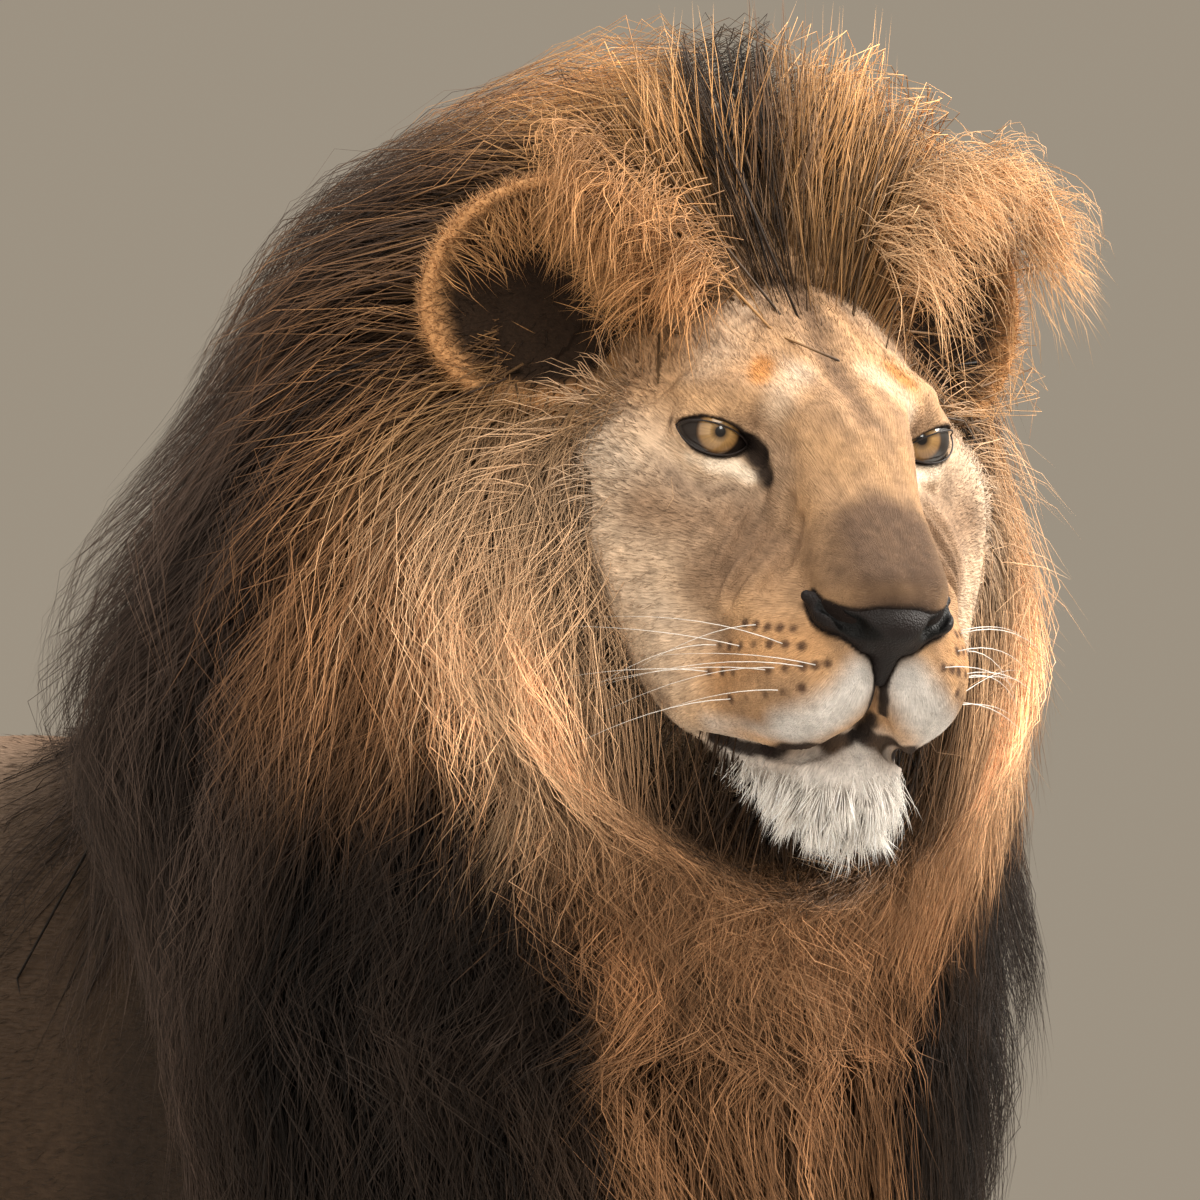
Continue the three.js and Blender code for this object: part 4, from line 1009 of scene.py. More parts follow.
@dataclass
class Hairs:
    """Tapered hairs with a three-sided section, each closed at both ends.

    paths holds the points of each hair from root to tip, outward the side away from the skin, width the
    breadth at the root, colours the linear colour along each hair, and roots its place on the unwrap.
    """

    paths: Array
    outward: Array
    width: Array
    colours: Array
    roots: Array
    flat: float = 0.6

    def only(self, keep: Array) -> Hairs:
        """The hairs that are marked in keep."""
        parts = (self.paths, self.outward, self.width, self.colours, self.roots)
        return Hairs(*(part[keep] for part in parts), self.flat)

    def build(self, name: str) -> Piece:
        """Makes the mesh object.

        Args:
            name: Its name.

        Returns:
            The object.
        """
        count, last = self.paths.shape[0], self.paths.shape[1] - 1
        ahead = np.gradient(self.paths, axis=1)
        ahead /= np.maximum(np.linalg.norm(ahead, axis=2, keepdims=True), 1e-6)
        across = np.cross(ahead, self.outward)
        across /= np.maximum(np.linalg.norm(across, axis=2, keepdims=True), 1e-6)
        up = np.cross(across, ahead)
        t = np.arange(last) / last
        breadth = self.width[:, None] * (1 - t) ** 0.6 * (0.8 + 0.5 * t)
        half = breadth[:, :, None, None] / 2
        angle = np.radians([90, 210, 330])[None, None, :, None]
        ring = self.paths[:, :-1, None] + half * (
            np.cos(angle) * across[:, :-1, None] + self.flat * np.sin(angle) * up[:, :-1, None]
        )
        points = np.concatenate([ring.reshape(count, -1, 3), self.paths[:, -1:]], 1)
        colours = np.concatenate([np.repeat(self.colours[:, :-1], 3, 1), self.colours[:, -1:]], 1)
        s = np.concatenate([np.tile([0.5, 0.0, 1.0], last), [0.5]]) - 0.5
        v = np.concatenate([np.repeat(t, 3), [1.0]]) - 0.5
        roots = np.clip(self.roots, PATCH, 1 - PATCH)[:, None] + PATCH * np.stack([s, v], -1)
        per = 3 * last + 1
        start = (np.arange(count) * per)[:, None, None]
        sides, tips = [], []
        for i in range(last - 1):
            for n in range(3):
                a, b = 3 * i + n, 3 * i + (n + 1) % 3
                sides.append((b, a, a + 3, b + 3))
        for n in range(3):
            tips.append((per - 4 + (n + 1) % 3, per - 4 + n, per - 1))
        tips.append((0, 1, 2))
        faces = [(start + np.array(tips)).reshape(-1, 3)]
        if sides:
            faces.append((start + np.array(sides)).reshape(-1, 4))
        return mesh_object(name, points.reshape(-1, 3), faces, colours.reshape(-1, 3), roots.reshape(-1, 2))


# ---------------------------------------------------------------- shader building
class Value:
    """One output of a shader node, with the arithmetic that the finishes use."""

    def __init__(self, tree: bpy.types.NodeTree, socket: bpy.types.NodeSocket) -> None:
        """Wraps a socket."""
        self.tree = tree
        self.socket = socket

    def _with(self, operation: str, first: object, second: object) -> Value:
        """Adds one Math node."""
        node = self.tree.nodes.new("ShaderNodeMath")
        node.operation = operation
        for n, term in enumerate((first, second)):
            if isinstance(term, Value):
                self.tree.links.new(term.socket, node.inputs[n])
            else:
                node.inputs[n].default_value = float(term)
        return Value(self.tree, node.outputs[0])

    def __add__(self, other: object) -> Value:
        """Sum."""
        return self._with("ADD", self, other)

    __radd__ = __add__

    def __mul__(self, other: object) -> Value:
        """Product."""
        return self._with("MULTIPLY", self, other)

    __rmul__ = __mul__

    def __sub__(self, other: object) -> Value:
        """Difference."""
        return self._with("SUBTRACT", self, other)

    def __rsub__(self, other: object) -> Value:
        """Difference from a number."""
        return self._with("SUBTRACT", other, self)


class Recipe:
    """The node tree of one material."""

    def __init__(self, name: str) -> None:
        """Starts an empty material with its shader and output."""
        self.material = bpy.data.materials.new(name)
        self.material.use_nodes = True
        self.tree = self.material.node_tree
        self.tree.nodes.clear()
        self.surface = self.tree.nodes.new("ShaderNodeBsdfPrincipled")
        output = self.tree.nodes.new("ShaderNodeOutputMaterial")
        self.tree.links.new(self.surface.outputs[0], output.inputs["Surface"])

    def node(self, kind: str, settings: dict[str, object] | None = None, **sockets: object) -> bpy.types.Node:
        """Adds a node.

        Args:
            kind: The node's type, without the ShaderNode prefix.
            settings: Its settings, set before its sockets; "stops" fills a colour ramp.
            sockets: A number, colour or Value for each named socket, its spaces as underscores.

        Returns:
            The node.
        """
        made = self.tree.nodes.new("ShaderNode" + kind)
        for key, value in (settings or {}).items():
            if key == "stops":
                self._fill_ramp(made.color_ramp, value)
            else:
                setattr(made, key, value)
        for key, value in sockets.items():
            self.feed(made, key.replace("_", " "), value)
        return made

    @staticmethod
    def _fill_ramp(ramp: bpy.types.ColorRamp, stops: Sequence[tuple[float, Sequence[float]]]) -> None:
        """Gives a ramp its stops, each a place and a colour."""
        while len(ramp.elements) < len(stops):
            ramp.elements.new(0.5)
        for element, (place, colour) in zip(ramp.elements, stops):
            element.position = place
            element.color = (*colour, 1.0)

    def feed(self, node: bpy.types.Node, name: str, value: object) -> None:
        """Links or sets the enabled socket of that name."""
        socket = next(s for s in node.inputs if s.name == name and s.enabled)
        if isinstance(value, Value):
            self.tree.links.new(value.socket, socket)
        elif isinstance(value, (tuple, list)) and len(value) == 3 and socket.type == "RGBA":
            socket.default_value = (*value, 1.0)
        else:
            socket.default_value = value

    def value(self, node: bpy.types.Node, name: str = "") -> Value:
        """The named output of a node, or its first enabled one."""
        for socket in node.outputs:
            if socket.enabled and name in ("", socket.name):
                return Value(self.tree, socket)
        raise KeyError(name)

    def attribute(self, name: str, output: str) -> Value:
        """An attribute of the mesh."""
        return self.value(self.node("Attribute", {"attribute_name": name}), output)

    def place(self) -> Value:
        """The place on the object, in metres."""
        return self.value(self.node("TexCoord"), "Object")

    def noise(self, scale: float, detail: float = 3.0, place: Value | None = None) -> Value:
        """Noise from 0 to 1."""
        made = self.node("TexNoise", Vector=place or self.place(), Scale=scale, Detail=detail)
        return self.value(made, made.outputs[0].name)

    def mixed(self, factor: object, a: object, b: object, way: str = "MIX") -> Value:
        """Two colours mixed, or blended another way."""
        made = self.node(
            "Mix", {"data_type": "RGBA", "blend_type": way, "clamp_result": False}, Factor=factor, A=a, B=b
        )
        return self.value(made, "Result")

    def shaded(self, colour: object, low: float, high: float, by: Value) -> Value:
        """A colour made darker or lighter between two factors."""
        level = by * (high - low) + low
        grey = self.node("CombineColor", Red=level, Green=level, Blue=level)
        return self.mixed(1.0, colour, self.value(grey), "MULTIPLY")

    def bump(self, height: Value, strength: float, distance: float) -> Value:
        """A bumped normal."""
        made = self.node("Bump", Height=height, Strength=strength, Distance=distance)
        return self.value(made)

    def finish(self, **sockets: object) -> bpy.types.Material:
        """Sets the shader's sockets and returns the material."""
        for key, value in sockets.items():
            self.feed(self.surface, key.replace("_", " "), value)
        return self.material


@dataclass(frozen=True)
class HairFinish:
    """Dull hair with a soft sheen along it; its colour is on the mesh."""

    name: str
    roughness: float = 0.6
    specular: float = 0.22

    def material(self) -> bpy.types.Material:
        """Makes the material."""
        r = Recipe(self.name)
        colour = r.shaded(r.attribute("coat", "Color"), 0.78, 1.22, r.noise(90.0, 2.0))
        return r.finish(Base_Color=colour, Roughness=self.roughness, Specular_IOR_Level=self.specular)


@dataclass(frozen=True)
class SkinFinish:
    """Skin under short flat fur: its colour is on the mesh, its grain in the bump."""

    name: str
    roughness: float = 0.85

    def material(self) -> bpy.types.Material:
        """Makes the material."""
        r = Recipe(self.name)
        strands = r.noise(1.0, 3.0, r.attribute("fur", "Vector"))
        tufts = r.noise(140.0, 3.0)
        colour = r.shaded(r.attribute("coat", "Color"), 0.25, 1.75, strands * 0.7 + tufts * 0.3)
        normal = r.bump(strands + 0.8 * tufts, 0.7, 0.003)
        return r.finish(Base_Color=colour, Roughness=self.roughness, Normal=normal, Specular_IOR_Level=0.15)


@dataclass(frozen=True)
class NoseFinish:
    """Moist dark leather with fine pebbles, and painted shade in the nostrils."""

    name: str = "nose_leather"
    pebble: float = 900.0

    def material(self) -> bpy.types.Material:
        """Makes the material."""
        r = Recipe(self.name)
        place = r.place()
        cells = r.value(r.node("TexVoronoi", Vector=place, Scale=self.pebble), "Distance")
        cloud = r.noise(120.0, 3.0, place)
        leather = r.mixed(cloud, (0.005, 0.004, 0.004), (0.015, 0.010, 0.009))
        # Painted shade: the nostrils are taken nearly to black.
        colour = r.mixed(r.attribute("nostril_shade", "Fac"), leather, (0.001, 0.001, 0.001))
        normal = r.bump(cells, 0.5, 0.0008)
        rough = cloud * 0.25 + 0.45
        return r.finish(Base_Color=colour, Roughness=rough, Normal=normal, Specular_IOR_Level=0.18)


@dataclass(frozen=True)
class LipFinish:
    """Dark bare skin at the lids and lips."""

    name: str = "dark_skin"

    def material(self) -> bpy.types.Material:
        """Makes the material."""
        r = Recipe(self.name)
        cloud = r.noise(500.0, 3.0)
        colour = r.mixed(cloud, (0.008, 0.006, 0.006), (0.03, 0.02, 0.017))
        return r.finish(
            Base_Color=colour, Roughness=0.5, Normal=r.bump(cloud, 0.3, 0.0005), Specular_IOR_Level=0.3
        )


@dataclass(frozen=True)
class EyeFinish:
    """An amber iris with a small round pupil, under a wet clear coat.

    The mesh carries the angle from the gaze, in radians, as the attribute "from_gaze".
    """

    name: str = "amber_eye"
    pupil: float = 0.13
    iris: float = 0.62

    def material(self) -> bpy.types.Material:
        """Makes the material."""
        r = Recipe(self.name)
        angle = r.attribute("from_gaze", "Fac") * (1 / self.iris)
        share = self.pupil / self.iris
        ramp = r.node(
            "ValToRGB",
            {
                "stops": (
                    (0.0, (0.004, 0.003, 0.003)), (share * 0.94, (0.004, 0.003, 0.003)),
                    (share * 1.15, (0.10, 0.055, 0.02)), (0.42, (0.34, 0.20, 0.075)),
                    (0.74, (0.27, 0.15, 0.055)), (0.88, (0.08, 0.042, 0.02)), (0.96, (0.012, 0.008, 0.006)),
                    (1.0, (0.02, 0.014, 0.012)),
                )
            },
            Fac=angle,
        )
        streaks = r.noise(1.0, 4.0, r.attribute("spokes", "Vector"))
        colour = r.shaded(r.value(ramp, "Color"), 0.55, 1.45, streaks)
        return r.finish(
            Base_Color=colour, Roughness=0.4, Specular_IOR_Level=0.2, Coat_Weight=0.9,
            Coat_Roughness=0.03, Coat_IOR=1.46,
        )


@dataclass(frozen=True)
class FloorFinish:
    """Pale matt plaster."""

    name: str = "pale_floor"

    def material(self) -> bpy.types.Material:
        """Makes the material."""
        r = Recipe(self.name)
        cloud = r.noise(3.0, 4.0)
        colour = r.mixed(cloud, (0.62, 0.60, 0.57), (0.68, 0.66, 0.63))
        return r.finish(Base_Color=colour, Roughness=0.9, Normal=r.bump(r.noise(60.0), 0.1, 0.002))


# ---------------------------------------------------------------- skin
def cylinder_roots(p: Points, low: Sequence[float], high: Sequence[float], axis: int) -> Array:
    """The unwrap of a part as a tube round one axis of its box.

    Args:
        p: Points on the part.
        low: The box's lowest corner.
        high: The box's highest corner.
        axis: The axis that the tube follows.

    Returns:
        One place in the unit square for each point.
    """
    middle = (np.array(low) + np.array(high)) / 2
    u, v = (axis + 1) % 3, (axis + 2) % 3
    angle = np.arctan2(p[:, v] - middle[v], p[:, u] - middle[u])
    far = (p[:, axis] - low[axis]) / (high[axis] - low[axis])
    return np.clip(np.stack([angle / (2 * math.pi) + 0.5, far], 1), PATCH, 1 - PATCH)


@dataclass
class Skin:
    """One skin over body, neck, head and ears, and over the dense hair at the roots of the mane."""

    face_step: float = 1.7
    ear_step: float = 2.6
    body_step: float = 9.0
    face_back: float = -62.0
    body_low: tuple[float, float, float] = (-1010.0, -262.0, -6.0)
    body_high: tuple[float, float, float] = (800.0, 262.0, 1480.0)

    def head_form(self) -> Form:
        """The head with its lids and folds, in its own frame."""
        built = melt(
            SKULL, (BRIDGE_EDGE, 14), (PAD_FRONT, 7), (PAD_SIDE, 12), (BROW, 12), (LIDS, 5), (EYE_BAG, 6)
        )
        hollowed = carve(carve(built, BRIDGE_SIDES, 14), DUCT, 4)
        creased = carve(carve(carve(hollowed, FURROW, 9), CREASES, 5), LIP_SEAM, 2)
        opened = carve(carve(creased, LIPS, 3), EYE_GAP, 1.5)
        return swollen(mirrored(opened), -FACE_COAT)

    def face(self) -> Surface:
        """The face from the brow forward, in the lion's frame."""
        form = self.head_form()
        made = Surface.of(form, (self.face_back, -112, -206), (126, 112, 84), self.face_step)
        return Surface(from_head(made.points), made.quads, made.normals @ HEAD_TURNING.T)

    def ear(self, side: float) -> Surface:
        """One ear, in the lion's frame; side is 1 on the left and -1 on the right."""
        cup = swollen(ear_cup, -0.6)
        made = Surface.of(cup, (-32, -72, -64), (14, 72, 64), self.ear_step)
        flip = np.array([1, side, 1])
        quads = made.quads if side > 0 else made.quads[:, ::-1]
        out = (made.points @ EAR_FACING.T + np.array(EAR_AT)) * flip
        normals = (made.normals @ EAR_FACING.T) * flip
        return Surface(from_head(out), quads, normals @ HEAD_TURNING.T)

    def body_form(self) -> Form:
        """Trunk, neck, tail and the mane's core, without the face."""
        plain = melt(TRUNK, (NECK, 60), (TAIL, 30))
        skull = worn(swollen(mirrored(SKULL), -self.face_step * 3))
        core = lambda p: underhair(p) + 4

        def at(p: Points) -> Array:
            body = plain(p) + BODY_COAT
            d = smooth_min(body, skull(p), 20)
            near = p[:, 0] > 60
            d[near] = smooth_min(d[near], core(p[near]), 24)
            ahead = to_head(p[near])[:, 0] - self.face_back
            d[near] += 12 * ease(0, 22, ahead)
            return np.maximum(d, 1.0 - p[:, 2])

        return at

    def body(self) -> Surface:
        """The body in the lion's frame."""
        return Surface.of(self.body_form(), self.body_low, self.body_high, self.body_step)


@dataclass
class Surfaces:
    """The surfaces that coats grow on."""

    face: Surface
    ears: tuple[Surface, Surface]
    body: Surface


FLESH_NODES = (
    *("torso", "head", "ear_left", "ear_right", "tail"),
    *(
        f"{part}_{side}"
        for part in ("fore_leg", "fore_paw", "hind_leg", "hind_paw")
        for side in ("left", "right")
    ),
)


class SkinPiece:
    """Builds the skin object and keeps its surfaces for the coats."""

    def __init__(self, quick: bool) -> None:
        """Meshes the surfaces."""
        skin = Skin()
        if quick:
            skin.face_step, skin.ear_step, skin.body_step = 3.0, 4.0, 15.0
        self.surfaces = Surfaces(skin.face(), (skin.ear(1), skin.ear(-1)), skin.body())

    def brow(self) -> Surface:
        """The face with the front of the dense hair over it, as far as the hairline."""
        body = self.surfaces.body
        own = to_head(body.points)
        near = (before_hairline(own) > -40) & (np.linalg.norm(own, axis=1) < HEAD_REACH)
        return self.surfaces.face.joined(body.only(near))

    def colours(self, lie: ManeLie) -> Points:
        """The markings on all of the skin, with painted shade where the mane covers it."""
        s = self.surfaces
        face = MARKINGS.face(to_head(s.face.points))
        ears = [ear_colours(ear, side) for ear, side in zip(s.ears, (1, -1))]
        body = MARKINGS.body(s.body.points)
        mane = MANE_WHOLE(s.body.points.astype(np.float32))
        covered = ease(-2, -26, mane) * ease(60, 160, s.body.points[:, 0])
        along, round_ = ring_place(lie, s.body.points)
        # Painted shade under the mane: darker the farther the skin is from the face.
        under_mane_shade = 0.3 + 0.45 * ease(90, 20, along)
        hair = MARKINGS.mane(s.body.points, along, round_, np.zeros(len(along))) * under_mane_shade[:, None]
        body = body + (hair - body) * covered[:, None]
        own = to_head(s.body.points)
        brow = ease(-12, 2, before_hairline(own)) * (np.linalg.norm(own, axis=1) < HEAD_REACH)
        body = body + (MARKINGS.face(own) - body) * brow[:, None]
        return np.concatenate([face, *ears, body])

    def build(self, lie: ManeLie) -> Piece:
        """Makes the skin object.

        Args:
            lie: The lie of the mane, for the colours under it.

        Returns:
            The object.
        """
        s = self.surfaces
        whole = s.face.joined(s.ears[0]).joined(s.ears[1]).joined(s.body)
        grain = {"fur": fur_places(whole.points)}
        made = mesh_object("lion_skin", whole.points, [whole.quads], self.colours(lie), extra=grain)
        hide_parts(*FLESH_NODES)
        return dressed(made, SkinFinish("short_coat").material())


def ear_colours(ear: Surface, side: float) -> Points:
    """The markings of one ear's points."""
    h = to_head(ear.points) * np.array([1, side, 1])
    return MARKINGS.ear((h - np.array(EAR_AT)) @ EAR_FACING)


def ring_place(lie: ManeLie, p: Points) -> tuple[Array, Array]:
    """Roughly where points lie along and round the mane's spine."""
    spine = lie.spine
    far = np.linalg.norm(p[:, None] - spine.points[None, ::6], axis=2)
    best = far.argmin(1) * 6
    at, tangent = spine.points[best], spine.tangents[best]
    along = spine.far[best] + np.einsum("ij,ij->i", p - at, tangent)
    nape = np.array([0, 0, 1.0]) - tangent * tangent[:, 2:3]
    side = np.cross(tangent, nape)
    q = p - at
    return along, np.arctan2(np.einsum("ij,ij->i", q, side), np.einsum("ij,ij->i", q, nape))


def fur_places(p: Points) -> Points:
    """Coordinates for the grain of the coat, stretched along its lie."""
    away = to_head(p) - np.array(NOSE_TIP)
    far = np.linalg.norm(away, axis=1, keepdims=True)
    on_head = away / far * (110 + far / 8)
    on_leg = p / np.array([1.8, 1.8, 14.0])
    on_trunk = p / np.array([14.0, 1.8, 1.8])
    on_body = np.where(p[:, 2:] < 600, on_leg, on_trunk)
    return np.where(far < 260, on_head, on_body)


# ---------------------------------------------------------------- short coats
def unit(v: Points) -> Points:
    """Vectors at length one."""
    return v / np.maximum(np.linalg.norm(v, axis=-1, keepdims=True), 1e-6)


def face_lie(p: Points) -> Points:
    """The lie of the face's coat: away from the nose."""
    h = to_head(p)
    away = unit(h - np.array(NOSE_TIP))
    away[:, 2] += np.where(h[:, 2] > 20, 0.5, -0.25 * ease(-10, -60, h[:, 2]))
    return unit(away) @ HEAD_TURNING.T


def body_lie(p: Points) -> Points:
    """The lie of the body's coat: backward, down the legs and along the tail."""
    down = ease(720, 480, p[:, 2])
    on_tail = ease(-720, -790, p[:, 0])
    flow = np.zeros_like(p)
    flow[:, 0] = -(1 - down) - 0.25 * on_tail
    flow[:, 2] = -0.35 - down - 1.2 * on_tail
    on_paw = ease(120, 60, p[:, 2])
    flow[:, 0] += 1.5 * on_paw
    return unit(flow)


@dataclass
class ShortCoat:
    """Short tufts that lie along a skin."""

    length: float
    width: float
    lift: float
    spread: float = 0.35
    contrast: float = 0.36
    points: int = 2

    def tufts(
        self, surface: Surface, count: int, worth: Array, lie: Callable[[Points], Points],
        colour: Callable[[Points], Points], longer: Callable[[Points], Array], random: Chance,
    ) -> Hairs:
        """Grows tufts on a surface.

        Args:
            surface: The skin.
            count: How many tufts.
            worth: How thickly they grow at each vertex.
            lie: The direction in which the coat lies.
            colour: The markings.
            longer: A factor on the length at each place.
            random: The source of chance.

        Returns:
            The tufts, with their unwrap still empty.
        """
        corners, weights = surface.scattered(count, worth, random)
        root = np.einsum("ijk,ij->ik", surface.points[corners], weights)
        normal = unit(np.einsum("ijk,ij->ik", surface.normals[corners], weights))
        flow = lie(root) + self.spread * random.normal(size=root.shape)
        flow = unit(flow - normal * np.einsum("ij,ij->i", flow, normal)[:, None])
        factor = longer(root) * (0.7 + 0.6 * random.random(count))
        long = (self.length * factor)[:, None]
        steps = np.linspace(0, 1, self.points)
        paths = np.stack(
            [
                root + flow * long * t + normal * (long * self.lift * math.sin(t * math.pi / 2) - 0.4)
                for t in steps
            ],
            1,
        )
        shade = (1 + self.contrast * (random.random(count) - 0.5))[:, None]
        base = colour(root) * shade
        colours = np.stack([base * (1 + self.contrast * (t - 0.6)) for t in steps], 1)
        width = self.width * (0.75 + 0.5 * random.random(count)) * np.sqrt(factor)
        outward = np.repeat(normal[:, None], self.points, 1)
        return Hairs(paths, outward, width, colours, np.zeros((count, 2)))


# ---------------------------------------------------------------- mane
class Region(Enum):
    """The pieces of the mane."""

    CROWN = "mane_crown"
    RUFF_LEFT = "mane_ruff_left"
    RUFF_RIGHT = "mane_ruff_right"
    NAPE = "mane_nape"
    NECK_LEFT = "mane_neck_left"
    NECK_RIGHT = "mane_neck_right"
    BREAST_LEFT = "mane_breast_left"
    BREAST_RIGHT = "mane_breast_right"


@dataclass
class Layer:
    """One layer of the mane's hair; low and high are shares of the way from the core to the tips, and light
    is painted shade on its colour.
    """

    suffix: str
    locks: int
    hairs: int
    points: int
    low: float
    high: float
    width: float
    spread: float
    gather: float
    wave: float
    strays: float
    light: float = 1.0


# The under layer is darkened by painted shade.
UNDER = Layer("_under", 640, 8, 4, 0.30, 0.68, 2.6, 34.0, 0.45, 4.0, 0.0, 0.45)
TOP = Layer("", 1120, 32, 5, 0.58, 1.07, 0.92, 22.0, 0.98, 15.0, 0.12)


@dataclass
class Mane:
    """Long hair in pointed locks, in rings from the face to the breast."""

    lie: ManeLie
    share: float = 1.0
    shortest: float = 110.0
    longest: float = 235.0
    root_shade: float = 0.30

    def roots(self, count: int, random: Chance) -> tuple[Array, Array]:
        """Draws roots evenly over the core, where the mane is deep enough.

        Args:
            count: How many.
            random: The source of chance.

        Returns:
            Along and round of each root.
        """
        lie = self.lie
        depth = lie.tips - lie.skin
        a, r = np.meshgrid(lie.ALONG, lie.ROUND, indexing="ij")
        at = lie.point(a.ravel(), r.ravel(), lie.core.ravel()).astype(np.float32)
        clear = (worn(EAR_HOLLOW)(at) > -4).reshape(a.shape)
        own = to_head(at)
        gap = np.where(np.linalg.norm(own, axis=1) < 260, before_hairline(own), -99).reshape(a.shape)
        wall = np.minimum(np.hypot(1, np.gradient(lie.core, 10.0, axis=0)), 4)
        worth = lie.core * wall * ease(0, 10, depth) * clear * ease(6, -8, gap)
        worth *= 1 + 2.6 * ease(210, 90, a)
        flank = (np.abs(at[:, 1]) > 90) & (at[:, 0] < 330 - 1.1 * np.maximum(at[:, 2] - 1060, 0))
        worth *= ~flank.reshape(a.shape)
        worth[:, -1] = 0
        cell = random.choice(worth.size, count, p=worth.ravel() / worth.sum())
        i, j = np.unravel_index(cell, worth.shape)
        step = lie.ROUND[1] - lie.ROUND[0]
        return (lie.ALONG[i] + 10 * (random.random(count) - 0.5), lie.ROUND[j] + step * random.random(count))

    def flow(self, along: Array, round_: Array, rho: Array) -> tuple:
        """How far hair moves along and round, for each millimetre of its length."""
        _, tangent = self.lie.spine.at(along)
        behind = np.abs(round_)
        fall = 1.25 * ease(0.25, 1.1, behind)
        fall *= 1 - 0.85 * ease(250, 330, along) * ease(1.45, 1.1, behind)
        go = 1 + fall * -tangent[:, 2]
        front = 0.62 * ease(130, 10, along) * ease(0.9, 1.4, behind)
        lower = 0.85 * ease(250, 120, along) * ease(1.5, 1.95, behind)
        go *= 1 - np.maximum(front, lower) * ease(2.95, 2.45, behind)
        turn = fall * np.sqrt(1 - tangent[:, 2] ** 2) * np.sin(round_)
        turn += 0.5 * np.sign(round_) * ease(0.05, 0.3, behind) * ease(1.0, 0.6, behind)
        scale = np.hypot(go, turn)
        return go / scale, turn / scale / np.maximum(rho, 60)

    @staticmethod
    def crown(along: Array, round_: Array) -> Array:
        """How much places belong to the hair that stands up over the brow."""
        return ease(1.1, 0.6, np.abs(round_)) * ease(150, 60, along)

    def lock_paths(self, layer: Layer, random: Chance) -> tuple[Array, Array]:
        """The middle line of each lock, as along and round at each of its points."""
        lie, n = self.lie, int(layer.locks * self.share)
        a, r = self.roots(n, random)
        place = lie.point(a, r, lie.read(lie.core, a, r))
        full = ease(10, 80, lie.read(lie.tips - lie.skin, a, r))
        long = (self.shortest + (self.longest - self.shortest) * full) * (0.7 + 0.5 * random.random(n))
        top = self.crown(a, r)
        long *= 1 - 0.25 * top + 0.2 * ease(1.0, 1.6, np.abs(r)) * ease(140, 60, a)
        long *= 1 - 0.55 * ease(290, 200, place[:, 0])
        long *= 1 - 0.62 * ease(270, 340, a) * ease(1.35, 0.95, np.abs(r))
        long *= 1 - 0.4 * ease(0.45, 0.75, r) * ease(1.5, 1.2, r) * ease(110, 60, a)
        sway = 0.6 * ripple(place, 60, 11) + (0.36 + 0.2 * top) * random.normal(size=n)
        curl = 1.8 + 1.8 * random.random(n)
        lines_a, lines_r = [a], [r]
        steps = 2 * (layer.points - 1)
        for i in range(steps):
            rho = lie.read(lie.tips, a, r)
            go, turn = self.flow(a, r, rho)
            bend = sway * np.cos(i / steps * curl * 2)
            step = long / steps
            a, r = a + (go - bend * turn * rho) * step, r + (turn + bend * go / np.maximum(rho, 60)) * step
            if i % 2:
                lines_a.append(a)
                lines_r.append(r)
        return np.stack(lines_a, 1), np.stack(lines_r, 1)

    def grow(self, layer: Layer, random: Chance) -> tuple[Hairs, Array]:
        """Grows the hairs of a layer.

        Args:
            layer: The layer.
            random: The source of chance.

        Returns:
            The hairs, and the region of each.
        """
        lie, k = self.lie, layer.points
        lock_a, lock_r = self.lock_paths(layer, random)
        n = len(lock_a)
        m = n * layer.hairs
        of = np.repeat(np.arange(n), layer.hairs)
        row = of[:, None]
        t = np.linspace(0, 1, k)
        stray = random.random(m) < layer.strays
        gather = np.where(stray, -0.25, layer.gather * (0.7 + 0.35 * random.random(m)))
        rho0 = np.maximum(lie.read(lie.core, lock_a[:, 0], lock_r[:, 0]), 60)[row]
        off = layer.spread * random.normal(size=(2, m, 1))
        open_ = 1 - gather[:, None] * t**0.75
        cut = 0.55 + 0.5 * random.random(m)
        grid = np.clip(t[None] * cut[:, None], 0, 1) * (k - 1)
        i = np.minimum(grid.astype(int), k - 2)
        s = grid - i
        base_a = lock_a[row, i] * (1 - s) + lock_a[row, i + 1] * s
        base_r = lock_r[row, i] * (1 - s) + lock_r[row, i + 1] * s
        phase = 6.28 * random.random(n)[row] + 0.6 * random.normal(size=(m, 1))
        waves = 1.0 + 0.9 * random.random(n)[row]
        swing = layer.wave * (0.4 + 0.8 * random.random(n))[row] * t * np.where(stray, 0.45, 1)[:, None]
        hair_a = base_a + off[0] * open_ * 0.7 + 0.4 * swing * np.cos(phase + 5.3 * waves * t)
        hair_r = base_r + (off[1] * open_ + swing * np.sin(phase + 6.28 * waves * t)) / rho0
        tall = layer.low + (layer.high - layer.low) * random.random(n)[row]
        tall = tall + 0.06 * random.normal(size=(m, 1))
        top = self.crown(lock_a[:, 0], lock_r[:, 0])[row]
        tall = tall + 0.12 * top * (1 - 1.6 * ease(0.1, 0.5, lock_r[:, 0])[row])
        apron = ease(210, 290, lock_a[:, 0]) * ease(1.8, 2.1, lock_r[:, 0])
        tall *= 1 - 0.3 * (apron * ease(2.95, 2.7, lock_r[:, 0]))[row]
        nape = (lock_r[of, 0] < -0.25) & (lock_r[of, 0] > -1.7) & (lock_a[of, 0] > 60)
        tall[stray] = 0.98 + ((0.1 + 0.26 * nape) * random.random(m))[stray, None]
        rise = 1 - (1 - t) ** (1.9 + 1.8 * top)
        core = lie.read(lie.core, hair_a, hair_r)
        skin = lie.read(lie.skin, hair_a, hair_r)
        tips = np.maximum(lie.read(lie.tips, hair_a, hair_r), skin + 6)
        rho = core - 5 + (tips - core + 5) * np.minimum(tall, 1.15) * rise
        rho += swing * 0.6 * np.cos(phase + 5.1 * waves * t)
        paths = self.clear_of_ears(lie.point(hair_a, hair_r, rho))
        # Painted shade: hairs that stand lower in the layer are made darker.
        low = np.clip((tall[:, 0] - layer.low) / (layer.high - layer.low), 0, 1)
        colours = self.colours(paths, hair_a, hair_r, of, layer.light * (0.66 + 0.5 * low), random)
